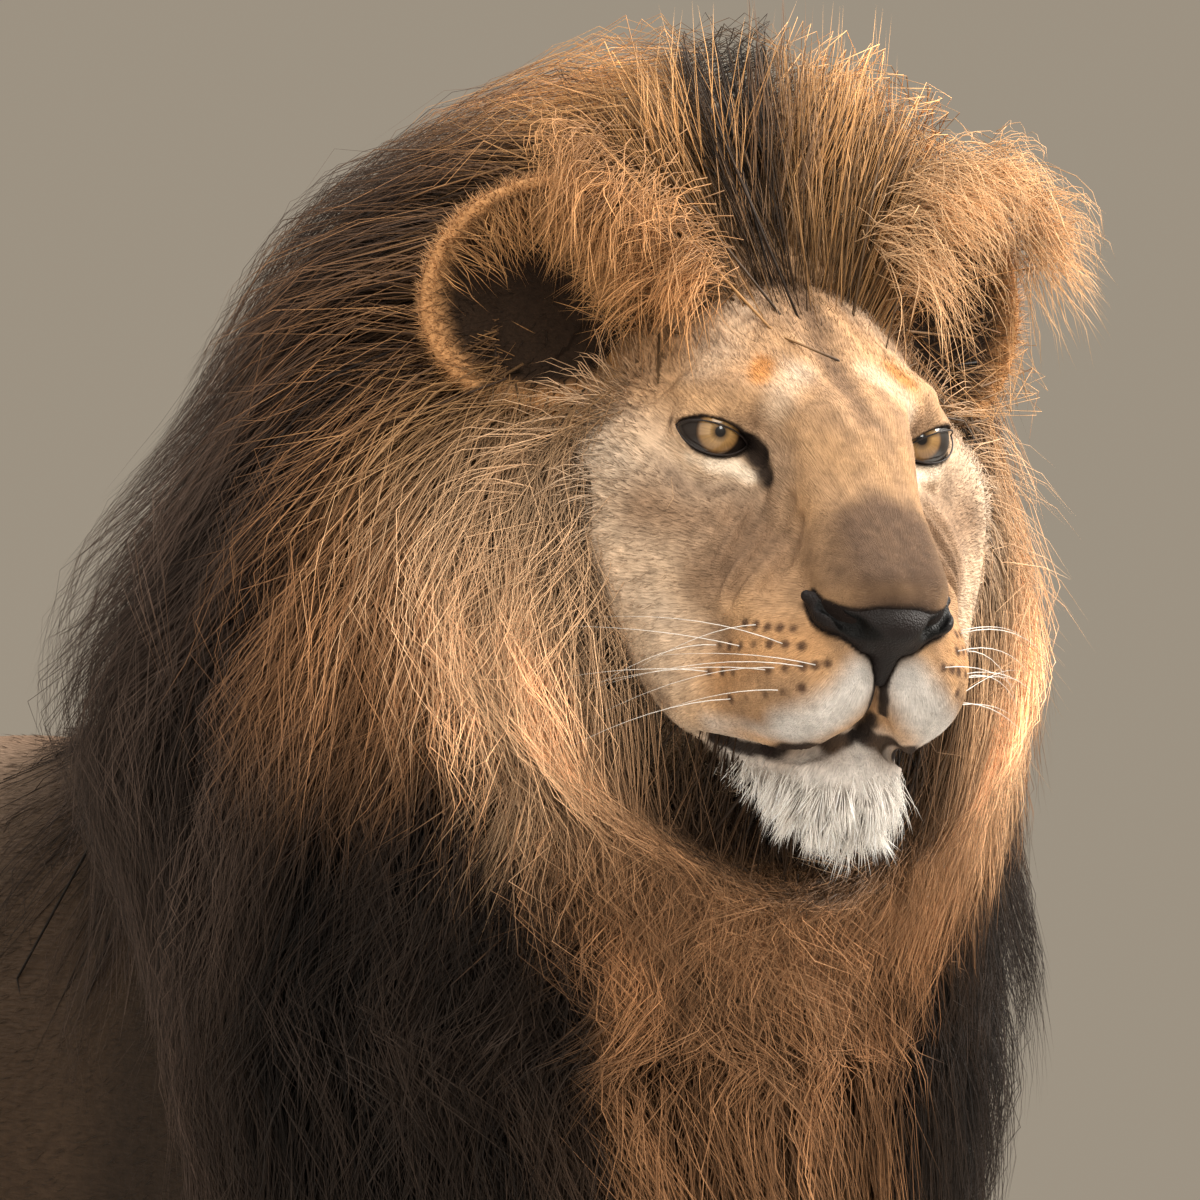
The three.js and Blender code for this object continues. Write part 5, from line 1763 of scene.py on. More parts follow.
        roots = np.stack([(lock_r[of, 0] / (2 * math.pi) + 0.5) % 1.0, (lock_a[of, 0] + 60) / 760], 1)
        width = layer.width * (0.5 + 0.7 * random.random(m))
        width[stray] *= 0.6
        width *= 1 + 0.35 * ease(180, 300, lock_a[of, 0])
        region = self.region(lock_a[:, 0], lock_r[:, 0])[of]
        region[self.over_ear(paths)] = -1
        return Hairs(paths, lie.outward(hair_a, hair_r), width, colours, roots), region

    def colours(self, paths: Array, a: Array, r: Array, of: Array, light: Array, random: Chance) -> Array:
        """Colours along each hair, with painted shade at the root and on the hairs that lie deeper.

        Args:
            paths: The hairs' points.
            a: How far along the mane each point is.
            r: Where round the mane each point is.
            of: The lock of each hair.
            light: A factor for each hair, painted shade that darkens the hairs lying deeper.
            random: The source of chance.

        Returns:
            One colour for each point of each hair.
        """
        m, k = a.shape
        shift = 15 * random.normal(size=of.max() + 1)[of] + 13 * random.normal(size=m)
        turned_r = (r.ravel() + math.pi) % (2 * math.pi) - math.pi
        colour = MARKINGS.mane(paths.reshape(-1, 3), a.ravel(), turned_r, np.repeat(shift, k))
        colour = colour.reshape(m, k, 3)
        lock = np.clip(1.03 + 0.38 * random.normal(size=of.max() + 1), 0.4, 1.8)[of]
        colour = colour * (light * lock * (0.82 + 0.32 * random.random(m)))[:, None, None]
        t = np.linspace(0, 1, k)
        # Painted shade: each hair darkens towards its root, where the locks overlap.
        shade = self.root_shade + (1.28 - self.root_shade) * ease(0.05, 0.8, t)
        bleached = (random.random(m) < 0.22)[:, None, None] * (0.012 + 0.3 * colour)
        return colour * shade[None, :, None] + bleached * (t**2)[None, :, None]

    @staticmethod
    def over_ear(paths: Array) -> Array:
        """Which hairs would cross the opening or the rim of the right ear."""
        own = to_head(paths[:, 1:].reshape(-1, 3)) * [1, -1, 1]
        ear = (own - np.array(EAR_AT)) @ EAR_FACING
        _, wide, high = EAR_SIZE
        inside = (np.hypot(ear[:, 1] / (wide + 5), ear[:, 2] / (high + 5)) < 1) & (ear[:, 0] > -4)
        return inside.reshape(len(paths), -1).any(1)

    @staticmethod
    def clear_of_ears(paths: Array) -> Array:
        """Hairs bent round the hollow in front of each ear."""
        flat = paths.reshape(-1, 3).astype(np.float32)
        form = worn(EAR_HOLLOW)
        d = form(flat)
        near = d < 0
        flat[near] -= unit(slope(form, flat[near])) * d[near][:, None]
        return flat.reshape(paths.shape).astype(float)

    @staticmethod
    def region(along: Array, round_: Array) -> Array:
        """The number of the region that each root is in."""
        names = list(Region)
        top = np.abs(round_) < 0.95
        left = round_ > 0
        out = np.where(left, names.index(Region.NECK_LEFT), names.index(Region.NECK_RIGHT))
        ruff = np.where(left, names.index(Region.RUFF_LEFT), names.index(Region.RUFF_RIGHT))
        breast = np.where(left, names.index(Region.BREAST_LEFT), names.index(Region.BREAST_RIGHT))
        out = np.where(along < 90, ruff, out)
        out = np.where((along > 270) | ((along > 90) & (np.abs(round_) > 2.3)), breast, out)
        out = np.where(top & (along < 190), names.index(Region.CROWN), out)
        return np.where(top & (along >= 190), names.index(Region.NAPE), out)

    def build(self, random: Chance) -> list[Piece]:
        """Makes the pieces of the mane.

        Args:
            random: The source of chance.

        Returns:
            The objects.
        """
        finish = HairFinish("mane_hair").material()
        made = []
        for layer in (UNDER, TOP):
            hairs, region = self.grow(layer, random)
            for number, name in enumerate(Region):
                keep = region == number
                if keep.any():
                    piece = hairs.only(keep).build(name.value + layer.suffix)
                    made.append(dressed(piece, finish))
        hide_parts("neck_mane")
        return made


@dataclass
class TailTuft:
    """Long dark hair round the end of the tail."""

    count: int = 1300
    points: int = 5
    width: float = 2.4

    def build(self, random: Chance) -> Piece:
        """Makes the tuft.

        Args:
            random: The source of chance.

        Returns:
            The object.
        """
        spine = Spine(TUFT_SPINE)
        n = self.count
        start = random.random(n) * 0.62
        angle = random.random(n) * 2 * math.pi
        t = np.linspace(0, 1, self.points)
        reach = (0.3 + 0.12 * random.random(n))[:, None]
        far = np.minimum((start[:, None] + reach * t), 0.97 + 0.05 * random.random(n)[:, None])
        place, tangent = spine.at(far * spine.length)
        side = unit(np.cross(tangent, np.array([0, 1.0, 0])))
        other = np.cross(tangent, side)
        out = side * np.cos(angle)[:, None, None] + other * np.sin(angle)[:, None, None]
        fat = 14 + (18 + 12 * random.random(n)[:, None]) * np.sin(t * 2.0) * (1 - 0.45 * start[:, None])
        paths = place + out * (fat * (0.55 + 0.45 * random.random(n)[:, None]))[..., None]
        colour = np.array(SOOT) * (0.8 + 1.6 * random.random(n))[:, None]
        colours = np.repeat(colour[:, None], self.points, 1) * (0.7 + 0.6 * t)[None, :, None]
        roots = np.stack([angle / (2 * math.pi), start], 1)
        hairs = Hairs(paths, out, np.full(n, self.width), colours, roots)
        made = hairs.build("tail_tuft_hair")
        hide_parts("tail_tuft")
        return dressed(made, HairFinish("tuft_hair").material())


# ---------------------------------------------------------------- face
def tube(places: Points, radii: Array, sides: int) -> tuple[Points, list[Array]]:
    """A closed tube along places.

    Args:
        places: Points of its centre line.
        radii: Its radius at each.
        sides: Corners of its section.

    Returns:
        Vertices and faces.
    """
    ahead = unit(np.gradient(places, axis=0))
    first = unit(np.cross(ahead, [0.13, 0.27, 0.95]))
    second = np.cross(ahead, first)
    angle = np.arange(sides) * 2 * math.pi / sides
    ring = first[:, None] * np.cos(angle)[:, None] + second[:, None] * np.sin(angle)[:, None]
    points = (places[:, None] + ring * radii[:, None, None]).reshape(-1, 3)
    n = len(places)
    faces = []
    for i in range(n - 1):
        for j in range(sides):
            a, b = i * sides + j, i * sides + (j + 1) % sides
            faces.append((a, b, b + sides, a + sides))
    caps = [np.array([range(sides)])[:, ::-1], np.array([range((n - 1) * sides, n * sides)])]
    return points, [np.array(faces), *caps]


def gathered(parts: list[tuple[Points, list[Array]]]) -> tuple[Points, list[Array]]:
    """Several vertex and face sets as one."""
    points, faces, start = [], [], 0
    for vertices, groups in parts:
        points.append(vertices)
        faces += [group + start for group in groups]
        start += len(vertices)
    return np.concatenate(points), faces


@dataclass
class Eye:
    """An eyeball with a low cornea; side is 1 on the left and -1 on the right."""

    side: float
    cornea: float = 1.6
    iris: float = 0.68
    rings: int = 56
    spokes: int = 72

    def build(self) -> Piece:
        """Makes the eye."""
        polar = np.linspace(0, math.pi, self.rings + 1)
        turn = np.arange(self.spokes) * 2 * math.pi / self.spokes
        t, f = np.meshgrid(polar, turn, indexing="ij")
        bulge = self.cornea * np.clip(1 - (t / (self.iris * 1.12)) ** 2, 0, 1) ** 1.3
        radius = EYE_R - 0.35 + bulge
        own = np.stack([np.cos(t), np.sin(t) * np.cos(f), np.sin(t) * np.sin(f)], -1)
        facing = turn_matrix(0, GAZE_DOWN, GAZE_TURN)
        h = (own * radius[..., None]).reshape(-1, 3) @ facing.T
        h += np.array(EYE_AT) * np.array([1, self.side, 1])
        faces = []
        for i in range(self.rings):
            for j in range(self.spokes):
                k = (j + 1) % self.spokes
                faces.append(
                    (i * self.spokes + j, (i + 1) * self.spokes + j, (i + 1) * self.spokes + k,
                     i * self.spokes + k)
                )
        name = "eye_left" if self.side > 0 else "eye_right"
        wheel = np.stack([np.cos(f) * 9, np.sin(f) * 9, t * 2.5], -1).reshape(-1, 3)
        extra = {"from_gaze": t.ravel(), "spokes": wheel}
        made = mesh_object(f"{name}_ball", from_head(h), [np.array(faces)], extra=extra)
        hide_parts(name)
        return dressed(made, EyeFinish(iris=self.iris).material())


@dataclass
class Rims:
    """The dark edges of the lids."""

    lid: float = 0.45
    turns: int = 72

    def lid_edge(self, side: float) -> Points:
        """The line where the opening meets the lids, in the head's frame."""
        angle = np.linspace(0, 2 * math.pi, self.turns + 1)
        low, far = np.zeros_like(angle), np.ones_like(angle)
        shell = EYE_R + LID - FACE_COAT - 0.2
        for _ in range(24):
            s = (low + far) / 2
            y, z = s * 21 * np.cos(angle), s * 12 * np.sin(angle)
            x = np.sqrt(np.maximum(shell**2 - y**2 - z**2, 0))
            own = np.stack([x, y, z], 1)
            outside = eye_slit(own.astype(np.float32)) > 0
            far, low = np.where(outside, s, far), np.where(outside, low, s)
        h = own @ EYE_FACING.T + np.array(EYE_AT)
        return h * np.array([1, side, 1])

    def build(self) -> Piece:
        """Makes all rims as one object."""
        parts = []
        for side in (1.0, -1.0):
            edge = from_head(self.lid_edge(side))
            parts.append(tube(edge, np.full(len(edge), self.lid), 8))
        points, faces = gathered(parts)
        made = mesh_object("lid_rims", points, faces)
        return dressed(made, LipFinish().material())


@dataclass
class NosePad:
    """The bare nose with its nostrils."""

    step: float = 1.0

    def build(self) -> Piece:
        """Makes the nose."""
        made = Surface.of(NOSE, (70, -54, -122), (136, 54, -46), self.step)
        # Painted shade in the nostril openings, read by the nose's material.
        nostril_shade = ease(2.6, 0.6, NOSTRILS(on_left(made.points).astype(np.float32)))
        nose = mesh_object("nose_pad", from_head(made.points), [made.quads], extra={"nostril_shade": nostril_shade})
        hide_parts("nose")
        return dressed(nose, NoseFinish().material())


@dataclass
class Whiskers:
    """Stiff white whiskers from the spots on the lips."""

    each_side: int = 11
    shortest: float = 50.0
    longest: float = 100.0
    thick: float = 0.27
    droop: float = 30.0

    def build(self, random: Chance) -> Piece:
        """Makes the whiskers.

        Args:
            random: The source of chance.

        Returns:
            The object.
        """
        parts = []
        t = np.linspace(0, 1, 9)
        for side in (1.0, -1.0):
            for spot in MARKINGS.spots[random.permutation(len(MARKINGS.spots))[: self.each_side]]:
                long = self.shortest + (self.longest - self.shortest) * random.random()
                away = unit(np.array([-0.6 + 0.15 * random.normal(), 1.0, 0.08 + 0.12 * random.normal()]))
                line = spot[None] + away * long * t[:, None]
                line[:, 2] -= self.droop * t**2 * (0.4 + random.random())
                line[:, 0] -= 22 * t**2
                line = line * np.array([1, side, 1])
                parts.append(tube(from_head(line), self.thick * (1.05 - t), 4))
        points, faces = gathered(parts)
        colours = np.tile((0.85, 0.80, 0.74), (len(points), 1))
        made = mesh_object("whiskers", points, faces, colours)
        return dressed(made, HairFinish("whisker", 0.35, 0.5).material())


@dataclass
class FaceCoat:
    """The short coat of the face, left and right."""

    count: int = 42000
    coat: ShortCoat = field(default_factory=lambda: ShortCoat(7.5, 0.62, 0.22, 0.24, 0.9))

    @staticmethod
    def longer(p: Points) -> Array:
        """Shortest at nose and eyes, longest on the cheeks, the brow and the chin."""
        h = on_left(to_head(p))
        eye = np.linalg.norm(h - np.array(EYE_AT), axis=1)
        factor = 0.45 + 0.9 * ease(60, -50, h[:, 0])
        factor *= 0.35 + 0.65 * ease(24, 40, eye)
        lips = ease(3, 12, LIPS(h.astype(np.float32)))
        edge = ease(24, -6, before_hairline(h))
        return factor * (0.55 + 0.45 * lips) + edge

    def build(self, surface: Surface, random: Chance) -> list[Piece]:
        """Makes the coat.

        Args:
            surface: The skin of the face.
            random: The source of chance.

        Returns:
            The objects, left and right.
        """
        h = to_head(surface.points)
        m = on_left(h).astype(np.float32)
        worth = ease(2.5, 5.0, EYE_GAP(m)) * ease(0.5, 2.5, NOSE(h.astype(np.float32)))
        worth *= ease(2.5, 6, LIPS(m)) * ease(0.5, 3.5, LOWER_LIP(m))
        worth *= ease(-16, -4, before_hairline(h))
        hairs = self.coat.tufts(
            surface, self.count, worth, face_lie, lambda p: MARKINGS.face(to_head(p)), self.longer, random
        )
        root = hairs.paths[:, 0]
        low, high = surface.points.min(0), surface.points.max(0)
        hairs.roots = cylinder_roots(root, low, high, 0)
        made = []
        left = to_head(root)[:, 1] > 0
        finish = HairFinish("face_hair").material()
        for name, keep in (("face_coat_left", left), ("face_coat_right", ~left)):
            made.append(dressed(hairs.only(keep).build(name), finish))
        return made


@dataclass
class Hairline:
    """Hair of growing length where the face meets the mane."""

    count: int = 8000
    points: int = 4
    shortest: float = 14.0
    longest: float = 70.0
    width: float = 0.8

    def edge(self, surface: Surface, random: Chance) -> Hairs:
        """Hair along the edge of the face."""
        gap = before_hairline(to_head(surface.points))
        jaw = ease(-60, -110, to_head(surface.points)[:, 2])
        worth = ease(20, 2, gap) * ease(-36, -16, gap) * (1 + 2.0 * jaw)
        corners, weights = surface.scattered(self.count, worth, random)
        root = np.einsum("ijk,ij->ik", surface.points[corners], weights)
        normal = unit(np.einsum("ijk,ij->ik", surface.normals[corners], weights))
        own = to_head(root)
        near = ease(16, -16, before_hairline(own))
        longest = self.longest * (1 - 0.15 * ease(-60, -110, own[:, 2]))
        long = self.shortest + (longest - self.shortest) * near * (0.7 + 0.5 * random.random(self.count))
        clump = np.stack([ripple(root, 18, n) for n in (31, 32, 33)], 1)
        flow = unit(face_lie(root) + 0.45 * clump + 0.14 * random.normal(size=root.shape))
        flow = unit(flow - normal * np.einsum("ij,ij->i", flow, normal)[:, None])
        high = ease(20, 60, own[:, 2])
        lift = 0.4 + 0.5 * high
        t = np.linspace(0, 1, self.points)
        paths = (
            root[:, None]
            + flow[:, None] * (long[:, None] * t)[..., None]
            + normal[:, None] * ((long * lift)[:, None] * np.sin(t * 1.5) - 0.5)[..., None]
        )
        paths[..., 2] -= (long * 0.55 * (1 - high))[:, None] * t**1.6 * (np.abs(own[:, 1]) > 60)[:, None]
        face = MARKINGS.face(own)
        gold = np.array(STRAW) + (np.array(GOLD) - np.array(STRAW)) * high[:, None]
        gold = gold * (0.7 + 0.5 * random.random(self.count))[:, None]
        crest = ease(22, 8, np.abs(own[:, 1])) * high
        gold = gold + (np.array(UMBER) - gold) * crest[:, None]
        colour = face + (gold - face) * (0.15 + 0.8 * near)[:, None]
        # Painted shade: near the edge of the face, the hair under the jaw is darkened.
        colour = colour * (1 - 0.4 * ease(-80, -120, own[:, 2]) * near)[:, None]
        colours = colour[:, None] * (0.72 + 0.4 * t)[None, :, None]
        roots = cylinder_roots(root, surface.points.min(0), surface.points.max(0), 0)
        width = self.width * (0.6 + 0.6 * random.random(self.count))
        outward = np.repeat(normal[:, None], self.points, 1)
        return Hairs(paths, outward, width, colours, roots)

    def build(self, surface: Surface, random: Chance) -> list[Piece]:
        """Makes the hair.

        Args:
            surface: The skin of the face.
            random: The source of chance.

        Returns:
            The object, in a list.
        """
        piece = self.edge(surface, random).build("hairline")
        return [dressed(piece, HairFinish("ruff_hair").material())]


@dataclass
class Forelocks:
    """Golden locks that rise between brow and ear and fall outward over the front of one ear.

    Places and directions are in the ear's own frame: forward, outward and up, in degrees round the rim.
    """

    side: float
    count: int
    locks: int
    angles: tuple[float, float]
    longest: float
    outward: float
    colour: tuple[float, float, float] = GOLD
    width: float = 0.8
    points: int = 6

    def build(self, random: Chance) -> Piece:
        """Makes the locks.

        Args:
            random: The source of chance.

        Returns:
            The object.
        """
        n, k, locks = self.count, self.points, self.locks
        _, wide, high = EAR_SIZE
        of = random.integers(0, locks, n)
        angle = np.radians(random.uniform(*self.angles, locks))
        rim = random.uniform(0.95, 1.3, locks)
        across, upward = wide * rim * np.cos(angle), high * rim * np.sin(angle)
        middle = np.stack([random.uniform(6, 26, locks), across, upward], 1)
        root = middle[of] + random.normal(size=(n, 3)) * [4, 8, 8]
        toward = np.stack([random.uniform(0.1, 0.5, locks), self.outward * random.uniform(0.7, 1.1, locks),
                           random.uniform(-0.1, 0.6, locks)], 1)
        toward = unit(toward[of] + 0.14 * random.normal(size=(n, 3)))
        long = (self.longest * random.uniform(0.6, 1.0, locks))[of] * (0.6 + 0.5 * random.random(n))
        t = np.linspace(0, 1, k)
        line = root[:, None] + toward[:, None] * (long[:, None] * t)[..., None]
        line[..., 2] -= (long * 0.7)[:, None] * t**2.0
        line = line + (middle[of] - root)[:, None] * (0.7 * t)[None, :, None]
        curl = 5.5 * np.sin(t * 5 + of[:, None]) * t
        line = line + curl[..., None] * np.array([0.6, 0.5, 0.8])
        line = (line @ EAR_FACING.T + np.array(EAR_AT)) * np.array([1, self.side, 1])
        lock = np.clip(1 + 0.22 * random.normal(size=locks), 0.6, 1.4)[of]
        colour = np.array(self.colour) * (lock * (0.75 + 0.5 * random.random(n)))[:, None]
        colours = colour[:, None] * (0.5 + 0.65 * t)[None, :, None]
        roots = np.stack([root[:, 1] / 300 + 0.5, root[:, 2] / 300 + 0.5], 1)
        outward = np.tile(np.array([0.8, 0.5 * self.side, 0.4]) @ HEAD_TURNING.T, (n, k, 1))
        width = self.width * (0.6 + 0.6 * random.random(n))
        name = "forelocks_left" if self.side > 0 else "forelocks_right"
        made = Hairs(from_head(line), unit(outward), width, colours, roots).build(name)
        return dressed(made, HairFinish("forelock_hair").material())


@dataclass
class Beard:
    """White hair that hangs from the chin."""

    count: int = 3800
    points: int = 4
    longest: float = 22.0
    width: float = 0.75

    def build(self, surface: Surface, random: Chance) -> Piece:
        """Makes the beard.

        Args:
            surface: The skin of the face.
            random: The source of chance.

        Returns:
            The object.
        """
        h = to_head(surface.points)
        worth = ease(-158, -174, h[:, 2]) * ease(16, 46, h[:, 0])
        corners, weights = surface.scattered(self.count, worth, random)
        root = np.einsum("ijk,ij->ik", surface.points[corners], weights)
        normal = unit(np.einsum("ijk,ij->ik", surface.normals[corners], weights))
        own = to_head(root)
        front = ease(30, 90, own[:, 0])
        long = self.longest * (0.45 + 0.55 * front) * (0.6 + 0.55 * random.random(self.count))
        t = np.linspace(0, 1, self.points)
        down = np.array([0, 0, -1.0]) @ HEAD_TURNING.T
        clump = 0.75 * np.stack([ripple(own * [1, 1, 0], 7, n) for n in (21, 22, 23)], 1)
        hang = unit(down + 0.1 * random.normal(size=root.shape) + clump * [0.6, 1, 0.2])
        long *= np.clip(1 + 0.3 * ripple(own * [1, 1, 0], 8, 24), 0.5, 1.4)
        paths = (
            root[:, None]
            + normal[:, None] * (long[:, None] * 0.22 * np.sin(t * 2.2))[..., None]
            + hang[:, None] * (long[:, None] * t**1.15)[..., None]
        )
        shade = (0.8 + 0.4 * random.random(self.count))[:, None]
        colour = np.array((0.93, 0.88, 0.82)) * shade
        colours = np.minimum(colour[:, None] * (0.82 + 0.3 * t)[None, :, None], 0.97)
        outward = np.repeat(normal[:, None], self.points, 1)
        roots = cylinder_roots(root, surface.points.min(0), surface.points.max(0), 0)
        width = self.width * (0.6 + 0.6 * random.random(self.count))
        made = Hairs(paths, outward, width, colours, roots).build("beard")
        made.data.materials.append(HairFinish("beard_hair").material())
        return made


@dataclass
class EarHair:
    """Short hair on the back and rim of each ear, and long hair across its opening."""

    short_count: int = 5000
    long_count: int = 1200
    coat: ShortCoat = field(default_factory=lambda: ShortCoat(9.0, 0.8, 0.3, 0.3, 0.6))

    def fringe(self, side: float, random: Chance) -> Hairs:
        """Long hair that rises from the front edge of one ear and crosses the opening."""
        n, k = self.long_count if side < 0 else self.long_count // 3, 4
        _, wide, high = EAR_SIZE
        angle = np.radians(random.triangular(30, 165, 235, n))
        rim = 0.96 - 0.3 * random.random(n) ** 2
        y, z = wide * rim * np.cos(angle), high * rim * np.sin(angle)
        x = 4 - 14 * (1 - rim)
        root = np.stack([x, y, z], 1)
        long = (16 + 26 * random.random(n)) * (0.8 + 0.4 * ease(1.6, 2.8, angle)) * (0.8 - 0.2 * side)
        inward = np.stack([0.3 + 0 * y, -y / wide, -z / high], 1)
        toward = unit(inward + 0.28 * random.normal(size=(n, 3)))
        t = np.linspace(0, 1, k)
        line = root[:, None] + toward[:, None] * (long[:, None] * t)[..., None]
        curl = 3.0 * np.sin(t * 6 + 7 * angle[:, None]) * t
        line = line + curl[..., None] * np.array([0.5, 0.8, 0.6])
        line[..., 2] -= (long * 0.2)[:, None] * t**2
        line = (line @ EAR_FACING.T + np.array(EAR_AT)) * np.array([1, side, 1])
        outward = np.tile(np.array([1.0, 0.3 * side, 0.2]) @ HEAD_TURNING.T, (n, k, 1))
        colour = np.array(AMBER) * (0.35 + 0.6 * random.random(n))[:, None]
        colour = colour + (np.array(GOLD) - colour) * random.random(n)[:, None] ** 2 * 0.7
        colours = colour[:, None] * (0.6 + 0.6 * t)[None, :, None]
        roots = np.stack([angle / (2 * math.pi), rim], 1)
        width = 0.8 * (0.6 + 0.6 * random.random(n))
        return Hairs(from_head(line), unit(outward), width, colours, roots)

    def build(self, ear: Surface, side: float, random: Chance) -> list[Piece]:
        """Makes the hair of one ear.

        Args:
            ear: Its skin.
            side: 1 on the left and -1 on the right.
            random: The source of chance.

        Returns:
            The short coat and the fringe.
        """
        name = "left" if side > 0 else "right"
        centre = from_head(np.array(EAR_AT) * [1, side, 1])
        away = lambda p: unit(unit(p - centre) + np.array([-0.3, 0, 0.25]))
        h = (to_head(ear.points) * [1, side, 1] - np.array(EAR_AT)) @ EAR_FACING
        _, wide, high = EAR_SIZE
        rim = np.hypot(h[:, 1] / wide, h[:, 2] / high)
        worth = 0.06 + ease(0.55, 0.9, rim)
        colour = lambda p: MARKINGS.ear((to_head(p) * [1, side, 1] - np.array(EAR_AT)) @ EAR_FACING)
        short = self.coat.tufts(ear, self.short_count, worth, away, colour, lambda p: np.ones(len(p)), random)
        short.roots = cylinder_roots(short.paths[:, 0], ear.points.min(0), ear.points.max(0), 0)
        finish = HairFinish("ear_hair").material()
        made = []
        for part, title in ((short, f"ear_coat_{name}"), (self.fringe(side, random), f"ear_fringe_{name}")):
            made.append(dressed(part.build(title), finish))
        return made


# ---------------------------------------------------------------- body coat
@dataclass
class BodyCoat:
    """The short coat of the body, in pieces for trunk, legs and tail."""

    count: int = 26000
    coat: ShortCoat = field(default_factory=lambda: ShortCoat(14.0, 1.3, 0.10, 0.12, 0.2))

    def build(self, surface: Surface, random: Chance) -> list[Piece]:
        """Makes the coat.

        Args:
            surface: The body's skin.
            random: The source of chance.

        Returns:
            The objects.
        """
        p = surface.points
        bare = MANE_WHOLE(p.astype(np.float32)) > -14
        worth = bare * (p[:, 0] < 560) * (0.4 + 0.6 * (p[:, 2] > 3))
        longer = lambda q: 1 - 0.45 * ease(420, 80, q[:, 2])
        hairs = self.coat.tufts(surface, self.count, worth, body_lie, MARKINGS.body, longer, random)
        hairs.paths[..., 2] = np.maximum(hairs.paths[..., 2], 1.5)
        root = hairs.paths[:, 0]
        x, y, z = root.T
        tail = x < -724
        leg = (z < 640) & ~tail
        parts = {
            "trunk_coat": (~leg & ~tail, 0), "tail_coat": (tail, 2),
            "fore_leg_coat_left": (leg & (x > 0) & (y > 0), 2),
            "fore_leg_coat_right": (leg & (x > 0) & (y <= 0), 2),
            "hind_leg_coat_left": (leg & (x <= 0) & (y > 0), 2),
            "hind_leg_coat_right": (leg & (x <= 0) & (y <= 0), 2),
        }
        finish = HairFinish("body_hair", 0.7, 0.2).material()
        made = []
        for name, (keep, axis) in parts.items():
            some = hairs.only(keep)
            own = some.paths[:, 0]
            some.roots = cylinder_roots(own, own.min(0), own.max(0), axis)
            made.append(dressed(some.build(name), finish))
        return made


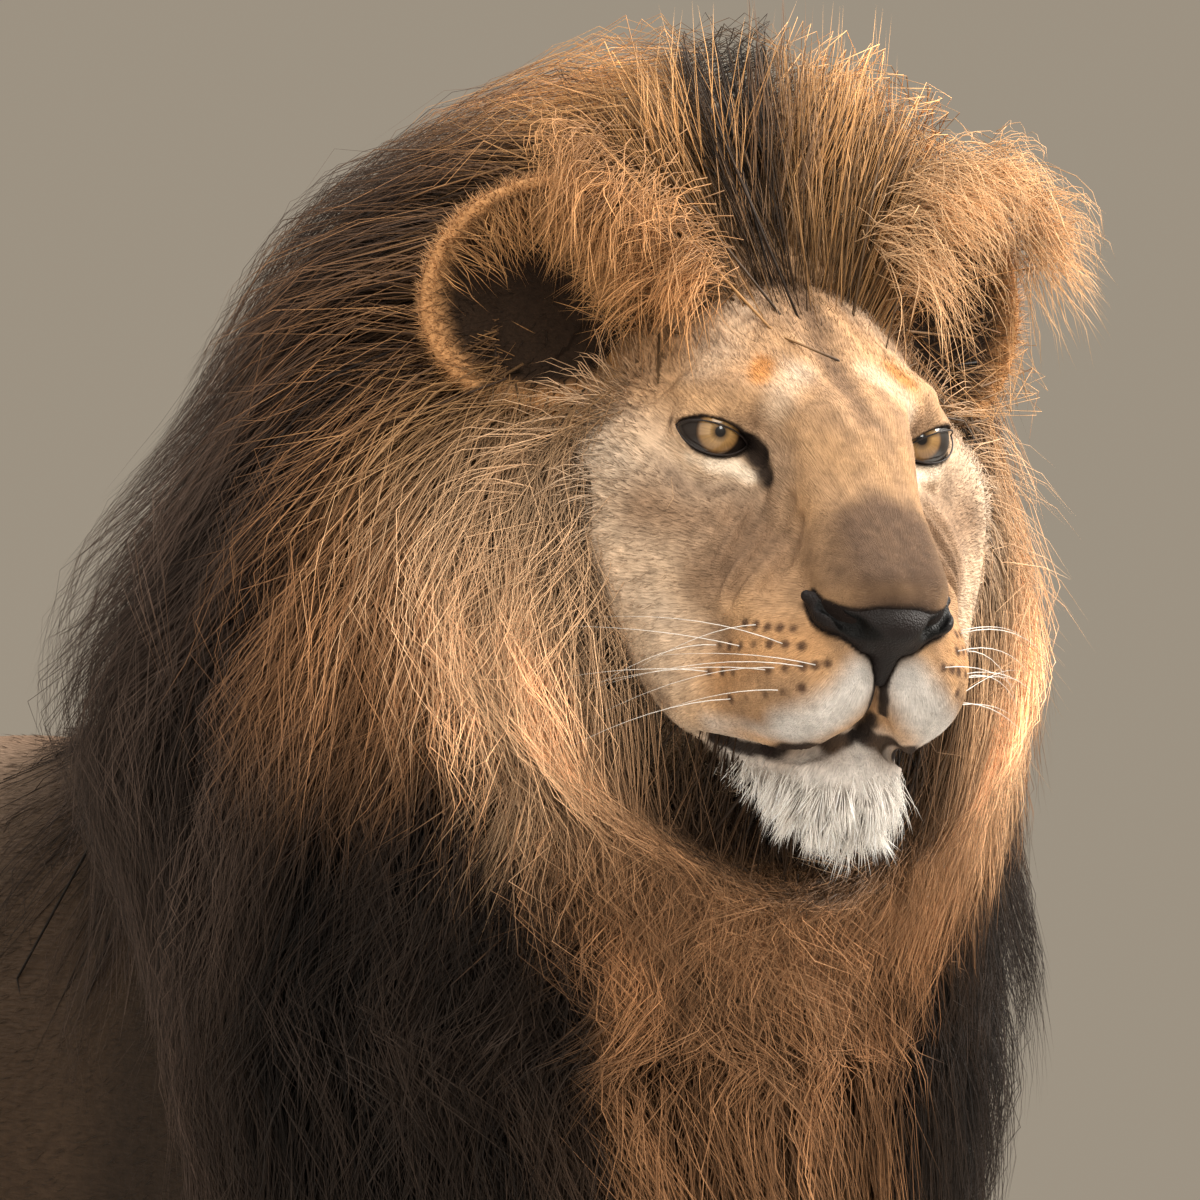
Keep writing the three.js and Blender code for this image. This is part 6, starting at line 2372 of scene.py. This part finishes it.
# ---------------------------------------------------------------- studio
@dataclass
class Studio:
    """A pale floor, soft light and the camera."""

    azimuth: float = 57.0
    elevation: float = 1.5
    distance: float = 10.0
    frame_width: float = 0.6154
    eyes_right: float = 0.1103
    eyes_up: float = 0.0846
    sensor: float = 36.0

    def axes(self) -> tuple[Points, Points, Points]:
        """Directions to the camera, to the picture's right and up."""
        a, e = math.radians(self.azimuth), math.radians(self.elevation)
        back = np.array([math.sin(a) * math.cos(e), -math.cos(a) * math.cos(e), math.sin(e)])
        right = np.array([math.cos(a), math.sin(a), 0.0])
        return back, right, np.cross(back, right)

    def camera(self) -> None:
        """Places the camera so that the head has its place in the picture."""
        back, right, up = self.axes()
        eyes = PLACE(np.array(HEAD_AT))
        target = eyes - right * self.eyes_right - up * self.eyes_up
        data = bpy.data.cameras.new("camera")
        data.sensor_width = self.sensor
        data.lens = self.sensor * self.distance / self.frame_width
        data.clip_end = 100.0
        made = bpy.data.objects.new("camera", data)
        made.location = target + back * self.distance
        made.rotation_euler = Vector(back).to_track_quat("Z", "Y").to_euler()
        bpy.context.scene.collection.objects.link(made)
        bpy.context.scene.camera = made

    def lamp(self, name: str, place: Points, size: float, power: float, tint: Sequence[float]) -> None:
        """Adds a soft square lamp that faces the head."""
        data = bpy.data.lights.new(name, "AREA")
        data.size = size
        data.energy = power
        data.color = tint
        made = bpy.data.objects.new(name, data)
        made.location = place
        toward = Vector(place - PLACE(np.array(HEAD_AT)))
        made.rotation_euler = toward.to_track_quat("Z", "Y").to_euler()
        bpy.context.scene.collection.objects.link(made)

    def lights(self) -> None:
        """Adds the lamps and the even light of the room."""
        back, right, up = self.axes()
        eyes = PLACE(np.array(HEAD_AT))
        warm, cool = (1.0, 0.95, 0.88), (0.94, 0.96, 1.0)
        self.lamp("key", eyes + back * 1.9 + right * 0.6 + up * 2.3, 1.8, 84, warm)
        self.lamp("fill", eyes + back * 2.4 - right * 1.6 + up * 0.5, 2.4, 31, warm)
        self.lamp("rim", eyes - back * 0.9 + right * 2.0 + up * 1.5, 1.4, 175, warm)
        self.lamp("catch", eyes + back * 2.4 + right * 1.3 + up * 0.74, 0.5, 14, warm)
        self.lamp("top", eyes - back * 0.6 - right * 0.4 + up * 2.6, 2.0, 50, cool)
        world = bpy.data.worlds.new("room")
        world.use_nodes = True
        ground = world.node_tree.nodes["Background"]
        ground.inputs["Color"].default_value = (0.45, 0.385, 0.30, 1.0)
        ground.inputs["Strength"].default_value = 0.75
        bpy.context.scene.world = world

    def floor(self) -> None:
        """Adds the floor."""
        size = 10.5
        mesh = bpy.data.meshes.new("floor")
        corners = [(-size, -size, 0), (size, -size, 0), (size, size, 0), (-size, size, 0)]
        mesh.from_pydata(corners, [], [(0, 1, 2, 3)])
        made = bpy.data.objects.new("floor", mesh)
        made.data.materials.append(FloorFinish().material())
        bpy.context.scene.collection.objects.link(made)

    def build(self) -> None:
        """Makes the studio."""
        bpy.context.scene.view_settings.view_transform = "Standard"
        self.floor()
        self.lights()
        self.camera()


# ---------------------------------------------------------------- the lion
def report(pieces: Sequence[Piece]) -> int:
    """Logs each piece and returns their triangles."""
    total = 0
    for piece in pieces:
        count = triangle_count(piece)
        LOG.info("%s: %d triangles", piece.name, count)
        total += count
    return total


def main() -> None:
    """Builds the lion and the studio."""
    logging.basicConfig(level=logging.INFO, format="%(relativeCreated)d ms %(message)s")
    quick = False
    random = np.random.default_rng(2026)
    LOG.info("measuring the mane")
    lie = ManeLie()
    LOG.info("meshing the skin")
    skin = SkinPiece(quick)
    total = report([skin.build(lie)])
    surfaces = skin.surfaces
    total += report([Eye(1.0).build(), Eye(-1.0).build()])
    total += report([NosePad().build(), Rims().build(), Whiskers().build(random)])
    share = 0.3 if quick else 1.0
    brow = skin.brow()
    total += report(FaceCoat(int(42000 * share)).build(brow, random))
    total += report(Hairline(int(6500 * share)).build(brow, random))
    total += report([
        Forelocks(-1.0, 700, 28, (120.0, 205.0), 62.0, 0.35, AMBER).build(random),
        Forelocks(1.0, 1300, 50, (60.0, 190.0), 62.0, 0.22, (0.78, 0.48, 0.25)).build(random),
    ])
    total += report([Beard().build(surfaces.face, random)])
    for ear, side in zip(surfaces.ears, (1.0, -1.0)):
        total += report(EarHair().build(ear, side, random))
    total += report(Mane(lie, share).build(random))
    total += report([TailTuft().build(random)])
    total += report(BodyCoat(int(26000 * share)).build(surfaces.body, random))
    LOG.info("%d triangles in all", total)
    Studio().build()


if __name__ == "__main__":
    main()
